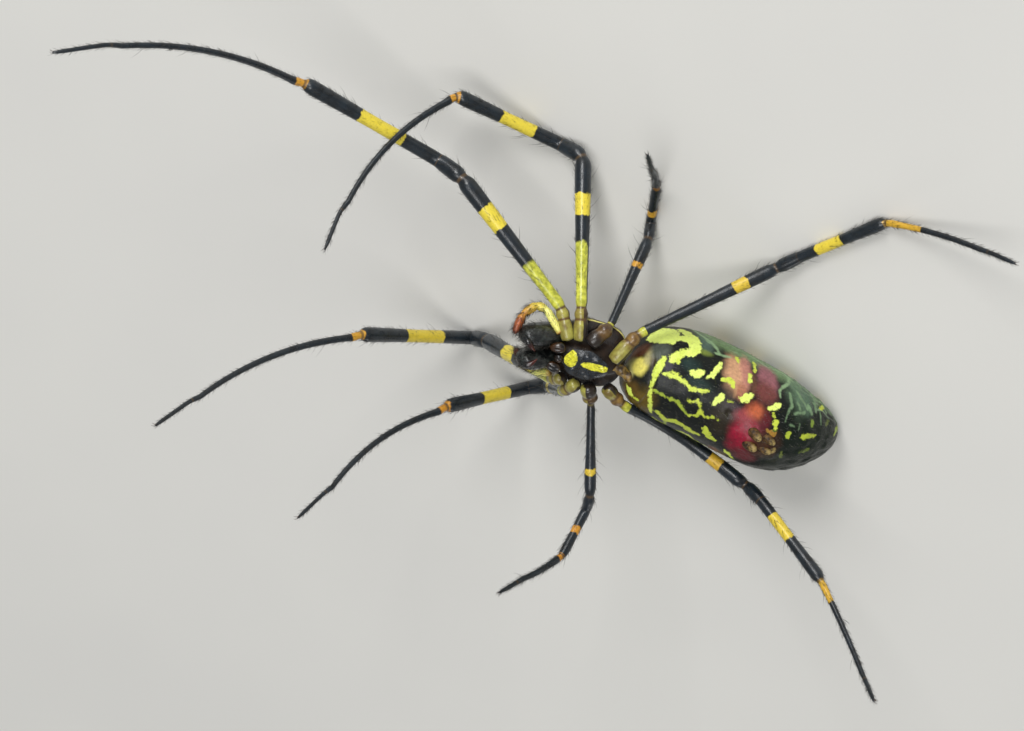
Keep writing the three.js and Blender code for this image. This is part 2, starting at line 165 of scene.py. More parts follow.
def maths(tree, operation, first, second=0.0, third=0.0):
    return put(tree, "Math", {0: first, 1: second, 2: third}, operation=operation).outputs[0]


def stretch(tree, value, low, high, toLow=0.0, toHigh=1.0, smooth=False):
    inputs = {"Value": value, "From Min": low, "From Max": high, "To Min": toLow, "To Max": toHigh}
    interpolation = "SMOOTHSTEP" if smooth else "LINEAR"
    return put(tree, "MapRange", inputs, interpolation_type=interpolation, clamp=True).outputs["Result"]


def blendColour(tree, factor, first, second, mode="MIX"):
    node = tree.nodes.new("ShaderNodeMix")
    node.data_type = "RGBA"
    node.blend_type = mode
    for index, source in ((0, factor), (6, first), (7, second)):
        if isinstance(source, bpy.types.NodeSocket):
            tree.links.new(source, node.inputs[index])
        else:
            node.inputs[index].default_value = source
    return node.outputs[2]


def ramped(tree, share, stops):
    ramp = tree.nodes.new("ShaderNodeValToRGB")
    tree.links.new(share, ramp.inputs[0])
    while len(ramp.color_ramp.elements) < len(stops):
        ramp.color_ramp.elements.new(0.5)
    for element, (position, stopColour) in zip(ramp.color_ramp.elements, stops):
        element.position = position
        element.color = stopColour
    return ramp.outputs[0]


def rgb(red, green, blue):
    levels = [(part / 255) for part in (red, green, blue)]
    linear = [part / 12.92 if part <= 0.04045 else ((part + 0.055) / 1.055) ** 2.4 for part in levels]
    return (*linear, 1.0)


def bumped(tree, height, distance, strength):
    inputs = {"Height": height, "Distance": distance * millimetre, "Strength": strength}
    return put(tree, "Bump", inputs).outputs["Normal"]


socketNames = {
    "coat": "Coat Weight",
    "coatRoughness": "Coat Roughness",
    "sheen": "Sheen Weight",
    "sheenTint": "Sheen Tint",
    "specular": "Specular IOR Level",
    "ior": "IOR",
    "subsurface": "Subsurface Weight",
    "subsurfaceScale": "Subsurface Scale",
}


def finishSurface(tree, colour, roughness, normal, **sockets):
    shader = put(tree, "BsdfPrincipled", {"Base Color": colour, "Roughness": roughness, "Normal": normal})
    for name, value in sockets.items():
        shader.inputs[socketNames[name]].default_value = value
    output = put(tree, "OutputMaterial")
    tree.links.new(shader.outputs[0], output.inputs[0])


# Darkens and lightens a colour by a grey share
def shaded(tree, colour, share):
    grey = put(tree, "CombineColor", {0: share, 1: share, 2: share}).outputs[0]
    return blendColour(tree, 1.0, colour, grey, "MULTIPLY")


# The usual ground: two tones in patches
def patchy(tree, where, size, detail, low, high, first, second):
    return blendColour(tree, stretch(tree, grain(tree, where, size, detail), low, high), first, second)


def softHair(name, first, second):
    material, tree, where = newMaterial(name)
    tone = patchy(tree, where, 1.2, 3.0, 0.35, 0.65, first, second)
    fibre = bumped(tree, grain(tree, where, 30.0), 0.002, 0.3)
    finishSurface(tree, tone, 0.42, fibre, sheen=0.3, sheenTint=(0.9, 0.93, 1, 1))
    return material


# Camera, floor and light. A separate script worked out the camera's place and axes, and the leg
# directions further down, from points picked by eye in the photo.
cameraSettings = {
    "position": (-153.416, 49.998, 212.844),
    "right": (-0.2059, 0.9000, -0.3842),
    "up": (-0.7684, -0.3918, -0.5060),
    "back": (-0.6059, 0.1910, 0.7722),
    "lens": 122.5,
}
bpy.ops.object.camera_add()
camera = bpy.context.object
camera.name = "photo_camera"
right, up, back = (Vector(cameraSettings[key]).normalized() for key in ("right", "up", "back"))
turn = Matrix((right, up, back)).transposed()
camera.matrix_world = Matrix.Translation(Vector(cameraSettings["position"]) * millimetre) @ turn.to_4x4()
camera.data.lens = cameraSettings["lens"]
camera.data.sensor_width = 36
camera.data.clip_start = 0.002
camera.data.clip_end = 20
scene.camera = camera

stageSettings = {
    "floorSize": 6.0,
    "floorColour": rgb(214, 212, 206),
    "world": 0.34,
    "worldColour": (0.93, 0.97, 1.0, 1.0),
    # name: direction to the lamp, distance, size, watts
    "lamps": {
        "sky_lamp": ((-0.80, -0.22, 0.56), 0.55, 0.2, 1.5),
        "top_lamp": ((-0.25, 0.15, 0.95), 0.60, 0.34, 1.5),
        "rear_lamp": ((0.75, 0.55, 0.35), 0.70, 0.3, 0.5),
        "edge_lamp": ((-0.95, -0.40, 0.16), 0.50, 0.25, 0.7),
    },
}
bpy.ops.mesh.primitive_plane_add(size=stageSettings["floorSize"])
floor = bpy.context.object
floor.name = "studio_floor"
floorPaint, tree, where = newMaterial("floorPaint")
mottle = stretch(tree, grain(tree, where, 0.02), 0.3, 0.7)
floorTone = blendColour(tree, mottle, stageSettings["floorColour"], rgb(208, 206, 201))
finishSurface(tree, floorTone, 0.85, bumped(tree, grain(tree, where, 2.0), 0.02, 0.2), specular=0.2)
floor.data.materials.append(floorPaint)
target = Vector((4.5, 6.0, 8.0)) * millimetre
for name, (direction, distance, size, watts) in stageSettings["lamps"].items():
    bpy.ops.object.light_add(type="AREA")
    lamp = bpy.context.object
    lamp.name = name
    lamp.data.shape = "DISK"
    lamp.data.size = size
    lamp.data.energy = watts
    direction = Vector(direction).normalized()
    lamp.location = target + direction * distance
    lamp.rotation_euler = direction.to_track_quat("Z", "Y").to_euler()
world = bpy.data.worlds.new("studioWorld")
world.use_nodes = True
world.node_tree.nodes["Background"].inputs[0].default_value = stageSettings["worldColour"]
world.node_tree.nodes["Background"].inputs[1].default_value = stageSettings["world"]
scene.world = world
scene.view_settings.view_transform = "Standard"
scene.view_settings.look = "None"
print("stage and camera ready")


# Skins: a grid rolled round a path or a body
def rolledSkin(name, points, values=None, colours=None):
    rows, columns = points.shape[0] - 1, points.shape[1] - 1
    deselect()
    bpy.ops.mesh.primitive_grid_add(x_subdivisions=columns, y_subdivisions=rows, size=2)
    skin = bpy.context.object
    skin.name = skin.data.name = name
    mesh = skin.data
    flat = cornerPlacesOf(mesh)
    column = np.rint((flat[:, 0] + 1) / 2 * columns).astype(int)
    row = np.rint((flat[:, 1] + 1) / 2 * rows).astype(int)
    mesh.vertices.foreach_set("co", points[row, column].ravel())
    for key, grid in (values or {}).items():
        attribute = mesh.attributes.new(key, "FLOAT", "POINT")
        attribute.data.foreach_set("value", np.ascontiguousarray(grid[row, column], dtype=np.float32))
    for key, grid in (colours or {}).items():
        attribute = mesh.attributes.new(key, "FLOAT_COLOR", "POINT")
        full = np.ones((len(row), 4), np.float32)
        full[:, :3] = grid[row, column]
        attribute.data.foreach_set("color", full.ravel())
    turnOutward(skin, joinDoubles=True)
    return skin


def gridNormals(points):
    along = np.gradient(points, axis=0)
    around = np.empty_like(points)
    around[:, 1:-1] = points[:, 2:] - points[:, :-2]
    around[:, 0] = around[:, -1] = points[:, 1] - points[:, -2]
    normals = unit(np.cross(around, along))
    centres = points[:, :-1].mean(axis=1, keepdims=True)
    middle = normals.shape[0] // 2
    if np.sum(normals[middle] * (points[middle] - centres[middle])) < 0:
        normals = -normals
    return normals, unit(along)


def sampleGrid(grid, rows, columns):
    low = np.minimum(rows.astype(int), grid.shape[0] - 2)
    left = np.minimum(columns.astype(int), grid.shape[1] - 2)
    down, across = (rows - low), (columns - left)
    if grid.ndim == 3:
        down, across = down[:, None], across[:, None]
    upper = grid[low, left] * (1 - across) + grid[low, left + 1] * across
    lower = grid[low + 1, left] * (1 - across) + grid[low + 1, left + 1] * across
    return upper * (1 - down) + lower * down


# One closed tuft per hair: a three-sided root, a three-sided middle and a tip
hairSteps = (0.0, 0.45, 1.0)
hairPatch = [(0, 0), (1, 0), (0.5, 0.3), (0, 0.6), (1, 0.6), (0.5, 0.8), (0.5, 1)]
hairPatchSize = 0.003
hairMapShare, hairMapMargin = 0.99, 0.002
hairCurl = 0.35
floorGap = 0.02


def hairCoat(name, points, settings, seed, weight=None, flow=None):
    random = np.random.default_rng(seed)
    normals, along = gridNormals(points)
    rows, columns = points.shape[0] - 1, points.shape[1] - 1
    edgeAlong = np.linalg.norm(np.diff(points, axis=0), axis=2).mean(axis=1)
    edgeAround = np.linalg.norm(np.diff(points, axis=1), axis=2).sum(axis=1)
    area = edgeAlong * (edgeAround[1:] + edgeAround[:-1]) / 2
    if weight is not None:
        area = area * weight(np.arange(rows) / rows)
    share = np.cumsum(area) / area.sum()
    count = settings["count"]
    pick = np.interp(random.random(count), np.concatenate([[0], share]), np.arange(rows + 1))
    spot = random.random(count) * columns
    if "keep" in settings:
        kept = settings["keep"](pick / rows, spot / columns, random)
        pick, spot = pick[kept], spot[kept]
        count = len(pick)
    root = sampleGrid(points, pick, spot)
    normal = unit(sampleGrid(normals, pick, spot))
    direction = sampleGrid(along, pick, spot) if flow is None else flow(root, normal)
    direction = unit(direction - normal * np.sum(direction * normal, axis=1, keepdims=True))
    aside = np.cross(normal, direction)
    swirl = random.normal(0, settings["swirl"], (count, 1))
    direction = unit(direction + aside * swirl)
    aside = np.cross(normal, direction)
    length = settings["length"] * millimetre * random.uniform(0.55, 1.3, (count, 1))
    width = settings["width"] * millimetre * random.uniform(0.75, 1.25, (count, 1))
    lift = np.radians(settings["lift"] + random.normal(0, settings["liftSpread"], (count, 1)))
    rings = []
    for step in hairSteps:
        rise = np.sin(lift) * (step - hairCurl * step * step * 0.5)
        run = np.cos(lift) * step + hairCurl * step * step * 0.25
        centre = root + length * (direction * run + normal * rise) - normal * width * (0.8
            if step == 0 else 0)
        reach = width * (1 - step) ** 0.6 if step < 1 else 0
        if step < 1:
            for corner in range(3):
                angle = corner * 2 * math.pi / 3 + math.pi / 2
                rings.append(centre + (aside * math.cos(angle) + normal * math.sin(angle)) * reach)
        else:
            rings.append(centre)
    vertices = np.stack(rings, axis=1)
    # a hair that would reach below the floor is left out
    kept = vertices[..., 2].min(axis=1) > floorGap * millimetre
    vertices, pick, spot = vertices[kept], pick[kept], spot[kept]
    count = len(pick)
    faces = [(0, 2, 1)]
    for corner in range(3):
        following = (corner + 1) % 3
        faces.append((corner, following, 3 + following))
        faces.append((corner, 3 + following, 3 + corner))
        faces.append((3 + corner, 3 + following, 6))
    faces = np.array(faces)
    perHair = vertices.shape[1]
    allFaces = (faces[None] + np.arange(count)[:, None, None] * perHair).reshape(-1, 3)
    mesh = bpy.data.meshes.new(name)
    mesh.vertices.add(count * perHair)
    mesh.vertices.foreach_set("co", vertices.reshape(-1))
    mesh.loops.add(len(allFaces) * 3)
    mesh.loops.foreach_set("vertex_index", allFaces.ravel().astype(np.int32))
    mesh.polygons.add(len(allFaces))
    mesh.polygons.foreach_set("loop_start", np.arange(len(allFaces), dtype=np.int32) * 3)
    mesh.update()
    mesh.validate()
    patch = np.array(hairPatch) * hairPatchSize
    base = np.stack([pick / rows, spot / columns], axis=1) * hairMapShare + hairMapMargin
    uv = base[:, None, :] + patch[None]
    layer = mesh.uv_layers.new(name="OFBake")
    layer.data.foreach_set("uv", uv.reshape(-1, 2)[allFaces.ravel()].ravel().astype(np.float32))
    coat = bpy.data.objects.new(name, mesh)
    scene.collection.objects.link(coat)
    turnOutward(coat)
    return coat


def wear(piece, material, nodes=()):
    piece.data.materials.clear()
    piece.data.materials.append(material)
    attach(piece, bodyName)
    if nodes:
        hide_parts(*nodes)


# Legs
legTable = [
    {"hip": (1.3, -2.1, 0.2), "root": (3.3, -3.2, -0.8), "lengths": (12.2, 2.5, 12.0, 15.8, 4.3),
        "coxa": 0.55, "femur": (0.46, 0.58, 0.67), "patella": 0.64, "tibia": (0.54, 0.5, 0.58),
        "metatarsus": (0.27, 0.2), "tarsus": 0.17, "bow": 0.055},
    {"hip": (1.5, -1.25, 0.2), "root": (3.7, -1.8, -0.8), "lengths": (11.6, 2.4, 9.2, 12.9, 3.7),
        "coxa": 0.55, "femur": (0.44, 0.54, 0.64), "patella": 0.62, "tibia": (0.53, 0.48, 0.56),
        "metatarsus": (0.26, 0.19), "tarsus": 0.16, "bow": 0.065},
    {"hip": (1.5, -0.6, 0.25), "root": (2.9, 0.6, -0.6), "lengths": (7.9, 1.7, 4.3, 5.0, 2.1),
        "coxa": 0.64, "femur": (0.31, 0.36, 0.45), "patella": 0.44, "tibia": (0.38, 0.34, 0.36),
        "metatarsus": (0.24, 0.2), "tarsus": 0.17, "bow": 0.02},
    {"hip": (0.65, 1.45, 0.4), "root": (2.9, 2.7, -0.6), "lengths": (11.6, 2.0, 7.9, 9.0, 2.7),
        "coxa": 0.57, "femur": (0.38, 0.43, 0.53), "patella": 0.52, "tibia": (0.44, 0.42, 0.49),
        "metatarsus": (0.23, 0.19), "tarsus": 0.17, "bow": 0.02},
]
# Heading and rise of each segment in degrees, from femur to tarsus, as the separate script gave them.
legPose = {
    "left": [
        [(-120, -9), (-91, -20), (-115, 21), (-110, 42), (-78, 42)],
        [(-148, -40), (-79, -24), (-110, 23), (-29, 60), (21, 65)],
        [(-173, -60), (-124, -67), (-179, 16), (-180, 44), (-169, 31)],
        [(127, -38), (137, -12), (138, 0), (110, 19), (109, 28)],
    ],
    "right": [
        [(-54.41, -40.78), (-49, -33), (-120, 54), (-82, 62), (-87, 79)],
        [(-24.22, -49.38), (-48, -14), (-109, 62), (-58, 67), (-61, 81)],
        [(22.88, 23.62), (-2, -13), (-1, 59), (-87, 69), (-101, 72)],
        [(65.42, -14.77), (94.3, 35.1), (74.6, 27.3), (74.6, 44.9), (103.9, 57.5)],
    ],
}
# The right legs leave the body further back than the left ones, and the last femur bows away under
# the abdomen.
rightSeats = [
    {"hip": (1.9, -1.75, 0.15), "root": (2.75, -2.55, -0.95), "reach": 12.51, "bow": None},
    {"hip": (2.0, -0.6, 0.1), "root": (3.45, -1.5, -0.8), "reach": 11.73, "bow": None},
    {"hip": (2.0, 0.15, 0.1), "root": (3.6, 0.75, -0.6), "reach": 7.23, "bow": None},
    {"hip": (1.75, 1.5, 0.0), "root": (3.0, 2.85, -0.5), "reach": 12.03, "bow": (0.58, -0.5, -1.39)},
]
# Yellow rings as shares of each segment: segment number (0 femur, 2 tibia, 3 metatarsus), start,
# end, warmth from lemon to orange.
legRings = {
    "left": [
        [(0, 0.61, 0.777, 0.1), (2, 0.27, 0.592, 0.12), (3, -0.01, 0.045, 0.8)],
        [(0, 0.61, 0.756, 0.1), (2, 0.257, 0.578, 0.12), (3, -0.02, 0.035, 0.8)],
        [(0, 0.665, 0.72, 0.75), (2, 0.22, 0.36, 0.7), (3, -0.02, 0.05, 0.9)],
        [(0, 0.69, 0.79, 0.35), (2, 0.21, 0.5, 0.18), (3, -0.01, 0.34, 0.62)],
    ],
    "right": [
        [(0, 0.515, 0.675, 0.05), (2, 0.28, 0.607, 0.2), (3, -0.01, 0.055, 0.75)],
        [(0, 0.61, 0.756, 0.2), (2, 0.257, 0.578, 0.15), (3, -0.02, 0.05, 0.85)],
        [(0, 0.71, 0.77, 0.35), (2, 0.36, 0.5, 0.85), (3, -0.02, 0.08, 0.9)],
        [(0, 0.72, 0.81, 0.55), (2, 0.19, 0.48, 0.25), (3, -0.01, 0.22, 0.6)],
    ],
}
# The yellow-green side of the first femora and the yellow side of each coxa: how far along the
# femur, and the side it faces.
legOlive = {
    "left": [
        {"reach": 0.33, "side": (0.15, 0.55, 0.85), "coxaSide": (0.0, -0.2, 1.0), "coxa": 0.0,
            "rust": 0.15},
        {"reach": 0.42, "side": (0.1, -0.45, 0.9), "coxaSide": (0.2, -0.9, 0.6), "coxa": 0.1, "rust": 0.3},
        {"reach": 0.03, "side": (0, 0, 1), "coxaSide": (-0.6, -0.6, 0.6), "coxa": 0.5, "rust": 0.5},
        {"reach": 0.06, "side": (0, 0, 1), "coxaSide": (0.5, -0.6, 0.9), "coxa": 0.15, "rust": 0.95},
    ],
    "right": [
        {"reach": 0.3, "side": (0.0, 0.3, 0.85), "coxaSide": (0.3, -0.5, 0.9), "coxa": 0.05, "rust": 0.3},
        {"reach": 0.03, "side": (0.0, -0.4, 0.9), "coxaSide": (0.2, -1.0, 0.5), "coxa": 0.2, "rust": 0.3},
        {"reach": 0.02, "side": (0, 0, 1), "coxaSide": (0.1, -1.0, 0.4), "coxa": 0.35, "rust": 0.3},
        {"reach": 0.06, "side": (0, 0, 1), "coxaSide": (0.4, -0.6, 0.9), "coxa": 0.1, "rust": 0.9},
    ],
}
legSkinSettings = {"spacing": 0.14, "sides": 24, "bendCut": 0.8}


def bezier(start, middle, end, steps):
    share = np.linspace(0, 1, steps, endpoint=False)[:, None]
    return (1 - share) ** 2 * start + 2 * share * (1 - share) * middle + share ** 2 * end


def roundedPath(joints, bowIndex=None, bow=0.0, bendCut=0.8, femurShift=None):
    pieces, lengths = [], [0.0]
    start = joints[0]
    total = 0.0
    for index in range(1, len(joints)):
        before, here = joints[index - 1], joints[index]
        span = here - before
        after = joints[index + 1] - here if index < len(joints) - 1 else None
        cut = min(bendCut, 0.42 * np.linalg.norm(span),
            0.42 * np.linalg.norm(after)) if after is not None else 0
        end = here - unit(span) * cut
        middle = (start + end) / 2
        if index == bowIndex and after is not None:
            inward = -unit(span)
            turnBack = unit(before - joints[index - 2]) - unit(after)
            turnBack = unit(turnBack - inward * np.dot(turnBack, inward))
            middle = middle + turnBack * 2 * bow * np.linalg.norm(span)
        if femurShift is not None and index == 2:
            middle = middle + 2 * np.array(femurShift)
        straight = bezier(start, middle, end, 60)
        pieces.append(straight)
        total += np.linalg.norm(np.diff(np.vstack([straight, end]), axis=0), axis=1).sum()
        if after is not None:
            following = here + unit(after) * cut
            corner = bezier(end, here, following, 16)
            pieces.append(corner)
            length = np.linalg.norm(np.diff(np.vstack([corner, following]), axis=0), axis=1).sum()
            lengths.append(total + length / 2)
            total += length
            start = following
    pieces.append(joints[-1][None])
    lengths.append(total)
    return np.vstack(pieces), lengths


def evenly(path, spacing):
    steps = np.linalg.norm(np.diff(path, axis=0), axis=1)
    run = np.concatenate([[0], np.cumsum(steps)])
    rows = max(8, int(round(run[-1] / spacing)))
    places = np.linspace(0, run[-1], rows + 1)
    return np.stack([np.interp(places, run, path[:, axis]) for axis in range(3)], axis=1), places


def carriedFrames(path):
    tangents = unit(np.gradient(path, axis=0))
    start = np.array((0.0, 0.0, 1.0)) if abs(tangents[0][2]) < 0.9 else np.array((1.0, 0.0, 0.0))
    normal = unit(start - tangents[0] * np.dot(start, tangents[0]))
    normals = [normal]
    for index in range(1, len(path)):
        normal = normal - tangents[index] * np.dot(normal, tangents[index])
        normal = unit(normal)
        normals.append(normal)
    normals = np.array(normals)
    return tangents, normals, np.cross(tangents, normals)


def ringAround(normals, binormals, sides):
    angles = np.linspace(0, 2 * math.pi, sides + 1)[None, :, None]
    return normals[:, None] * np.cos(angles) + binormals[:, None] * np.sin(angles)


def softened(values, spacing, reach):
    half = max(1, int(round(reach / spacing)))
    kernel = np.hanning(2 * half + 3)[1:-1]
    padded = np.pad(values, half, mode="edge")
    return np.convolve(padded, kernel / kernel.sum(), mode="valid")


def legJoints(pair, seat, pose, mirror):
    hip, root = (np.array(seat[key]) * (mirror, 1, 1) for key in ("hip", "root"))
    turn = np.array(frontMatrix.to_3x3())
    lift = np.array((0, 0, placing["bodyHeight"]))
    joints = [turn @ hip + lift, turn @ root + lift]
    lengths = [seat.get("reach", pair["lengths"][0])] + list(pair["lengths"][1:])
    for (heading, rise), length in zip(pose, lengths):
        aim, climb = math.radians(heading), math.radians(rise)
        ahead = (math.cos(climb) * math.cos(aim), math.cos(climb) * math.sin(aim), math.sin(climb))
        step = np.array(ahead) * length
        joints.append(joints[-1] + step)
    return joints


def makeLeg(side, number):
    mirror = -1 if side == "left" else 1
    pair, pose = legTable[number], legPose[side][number]
    seat = rightSeats[number] if side == "right" else pair
    joints = legJoints(pair, seat, pose, mirror)
    bow = seat["bow"] if side == "right" else None
    path, corners = roundedPath(joints, 5, pair["bow"], legSkinSettings["bendCut"], bow)
    path, places = evenly(path, legSkinSettings["spacing"])
    start, root, knee, patellaEnd, tibiaEnd, metatarsusEnd, tip = corners
    f, t, m = pair["femur"], pair["tibia"], pair["metatarsus"]
    profile = [
        (start, pair["coxa"] * 0.8), (start + 0.5, pair["coxa"]), (root - 1.05, pair["coxa"] * 1.02),
        (root - 0.85, pair["coxa"] * 0.74),
        (root - 0.72, pair["coxa"] * 0.74), (root - 0.55, pair["coxa"] * 0.98),
        (root - 0.2, pair["coxa"] * 0.98),
        (root, f[0] * 0.74), (root + 0.12, f[0] * 0.76), (root + 0.35, f[0] * 1.04), (root + 1.4, f[0]),
        ((root + knee) / 2, f[1]), (knee - 1.6, f[2]), (knee - 0.45, f[2] * 0.99),
        (knee - 0.12, f[2] * 0.7), (knee + 0.02, f[2] * 0.64),
        (knee + 0.3, pair["patella"] * 0.96), (knee + 0.7, pair["patella"]),
        (patellaEnd - 0.5, pair["patella"] * 0.96),
        (patellaEnd - 0.08, pair["patella"] * 0.86), (patellaEnd + 0.08, pair["patella"] * 0.82),
        (patellaEnd + 0.4, t[0]),
        ((patellaEnd + tibiaEnd) / 2, t[1]), (tibiaEnd - 1.2, t[2]), (tibiaEnd - 0.35, t[2] * 0.98),
        (tibiaEnd - 0.08, m[0] * 1.1),
        (tibiaEnd + 0.08, m[0] * 0.95), (tibiaEnd + 0.45, m[0] * 1.22), (tibiaEnd + 1.4, m[0]),
        ((tibiaEnd + metatarsusEnd) / 2, (m[0] + m[1]) / 2),
        (metatarsusEnd - 0.3, m[1]), (metatarsusEnd, m[1] * 0.82), (metatarsusEnd + 0.25, pair["tarsus"]),
        (tip - 0.8, pair["tarsus"] * 0.9),
        (tip - 0.15, pair["tarsus"] * 0.62), (tip, 0.02),
    ]
    radius = np.interp(places, [p[0] for p in profile], [p[1] for p in profile])
    radius = softened(radius, legSkinSettings["spacing"], 0.22)
    radius[0] = radius[-1] = 0.0
    tangents, normals, binormals = carriedFrames(path)
    sides = legSkinSettings["sides"]
    ring = ringAround(normals, binormals, sides)
    points = path[:, None] + ring * radius[:, None, None]
    segments = {0: (root, knee), 1: (knee, patellaEnd), 2: (patellaEnd, tibiaEnd),
        3: (tibiaEnd, metatarsusEnd), 4: (metatarsusEnd, tip)}
    ringEdge = np.full(len(places), -5.0)
    warmth = np.zeros(len(places))
    for segment, low, high, warm in legRings[side][number]:
        segmentStart, to = segments[segment]
        a, b = segmentStart + (to - segmentStart) * low, segmentStart + (to - segmentStart) * high
        inside = np.minimum(places - a, b - places)
        warmth = np.where(inside > ringEdge, warm, warmth)
        ringEdge = np.maximum(ringEdge, inside)
    joint = np.zeros(len(places))
    for centre, reach in ((root - 0.78, 0.16), (root + 0.05, 0.16), (knee - 0.02, 0.16), (patellaEnd, 0.08),
        (tibiaEnd, 0.13), (metatarsusEnd, 0.1)):
        joint = np.maximum(joint, np.exp(-((places - centre) / reach) ** 2))
    olive = legOlive[side][number]
    turn = np.array(frontMatrix.to_3x3())
    facing = ring @ unit(turn @ (np.array(olive["side"]) * (mirror, 1, 1)))
    onFemur = 1 - smoothStep(olive["reach"] * 0.8, olive["reach"] * 1.25, (places - root) / (knee - root))
    oliveField = np.where(places[:, None] > root, smoothStep(-0.25, 0.3, facing) * onFemur[:, None], 0)
    facingCoxa = ring @ unit(turn @ (np.array(olive["coxaSide"]) * (mirror, 1, 1)))
    coxaField = smoothStep(-0.15 + olive["coxa"], 0.45 + olive["coxa"], facingCoxa)
    onCoxa = 1 - smoothStep(root - 0.1, root + 0.15, places)
    oliveField = np.maximum(oliveField, coxaField * onCoxa[:, None])
    rust = olive["rust"] * smoothStep(root - 1.3, root - 0.7,
        places) * (1 - smoothStep(root + 0.1, root + 0.45, places))
    spread = np.ones((1, sides + 1))
    values = {
        "ringEdge": ringEdge[:, None] * spread, "warmth": warmth[:, None] * spread,
        "joint": joint[:, None] * spread,
        "olive": oliveField, "coxa": onCoxa[:, None] * spread, "rust": rust[:, None] * spread,
    }
    # the knees rest on small flats, as the solids do
    placed = place(points)
    placed[..., 2] = np.maximum(placed[..., 2], 0)
    skin = rolledSkin(f"leg_{side}_{number + 1}_skin", placed, values)
    return skin, placed, path, tangents, normals, places, corners


legSkin, tree, where = newMaterial("legCuticle")
wander = maths(tree, "MULTIPLY_ADD", grain(tree, where, 2.2, 4.0), 0.5, -0.25)
black = patchy(tree, where, 1.1, 3.0, 0.35, 0.65, (0.003, 0.005, 0.007, 1), (0.008, 0.014, 0.02, 1))
ringSide = stretch(tree, maths(tree, "ADD", readValue(tree, "ringEdge"), wander), -0.06, 0.06, smooth=True)
lemon = blendColour(tree, readValue(tree, "warmth"), rgb(232, 214, 62), rgb(196, 112, 24))
mealy = stretch(tree, grain(tree, where, 9.0, 4.0), 0.35, 0.7)
lemon = blendColour(tree, maths(tree, "MULTIPLY", mealy, 0.35), lemon, rgb(150, 140, 40))
olivePaint = patchy(tree, where, 3.0, 4.0, 0.35, 0.65, rgb(208, 208, 74), rgb(150, 152, 44))
coxaPaint = patchy(tree, where, 1.4, 3.0, 0.3, 0.7, rgb(172, 168, 76), rgb(108, 90, 38))
olivePaint = blendColour(tree, readValue(tree, "coxa"), olivePaint, coxaPaint)
oliveSide = stretch(tree, maths(tree, "ADD", readValue(tree, "olive"), wander), 0.35, 0.6, smooth=True)
dark = blendColour(tree, readValue(tree, "coxa"), black, rgb(36, 26, 17))
colour = blendColour(tree, oliveSide, dark, olivePaint)
rust = patchy(tree, where, 2.0, 3.0, 0.35, 0.65, rgb(140, 106, 50), rgb(84, 54, 26))
colour = blendColour(tree, readValue(tree, "rust"), colour, rust)
colour = blendColour(tree, ringSide, colour, lemon)
jointShade = stretch(tree, readValue(tree, "joint"), 0.35, 0.95, smooth=True)
jointTone = blendColour(tree, readValue(tree, "coxa"), rgb(74, 56, 34), rgb(92, 66, 30))
colour = blendColour(tree, jointShade, colour, jointTone)
scales = maths(tree, "ADD", cells(tree, where, 9.0), maths(tree, "MULTIPLY", grain(tree, where, 20.0, 2.0),
    0.6))
legNormal = bumped(tree, scales, 0.012, 0.55)
shine = stretch(tree, grain(tree, where, 4.0), 0.3, 0.7, 0.26, 0.42)
shine = maths(tree, "ADD", shine, maths(tree, "MULTIPLY", ringSide, 0.12))
finishSurface(tree, colour, shine, legNormal, coat=0.3, coatRoughness=0.2, sheen=0.05,
    sheenTint=(0.5, 0.68, 0.85, 1),
    specular=0.45)

bristleDark, tree, where = newMaterial("bristleDark")
tone = patchy(tree, where, 1.5, 3.0, 0.35, 0.65, rgb(24, 22, 20), rgb(64, 58, 50))
finishSurface(tree, tone, stretch(tree, grain(tree, where, 3.0), 0.3, 0.7, 0.35, 0.5),
    bumped(tree, grain(tree, where, 30.0), 0.002, 0.3), specular=0.5)

clawHorn, tree, where = newMaterial("clawHorn")
tone = patchy(tree, where, 6.0, 3.0, 0.35, 0.65, rgb(26, 16, 10), rgb(70, 38, 18))
finishSurface(tree, tone, 0.3, bumped(tree, grain(tree, where, 25.0), 0.003, 0.3), coat=0.4,
    coatRoughness=0.15)

legHair = {
    "fine": {"count": 1500, "length": 0.42, "width": 0.012, "lift": 32, "liftSpread": 9, "swirl": 0.22},
    "spines": {"count": 46, "length": 1.15, "width": 0.02, "lift": 42, "liftSpread": 8, "swirl": 0.2},
}
clawSettings = {"length": 0.34, "thickness": 0.035, "spread": 0.1}


def sweptTube(path, radii, sides):
    normals, binormals = carriedFrames(path)[1:]
    return path[:, None] + ringAround(normals, binormals, sides) * np.asarray(radii)[:, None, None]


def joined(pieces, name):
    deselect()
    for piece in pieces:
        piece.select_set(True)
    bpy.context.view_layer.objects.active = pieces[0]
    bpy.ops.object.join()
    result = bpy.context.object
    result.name = result.data.name = name
    return result


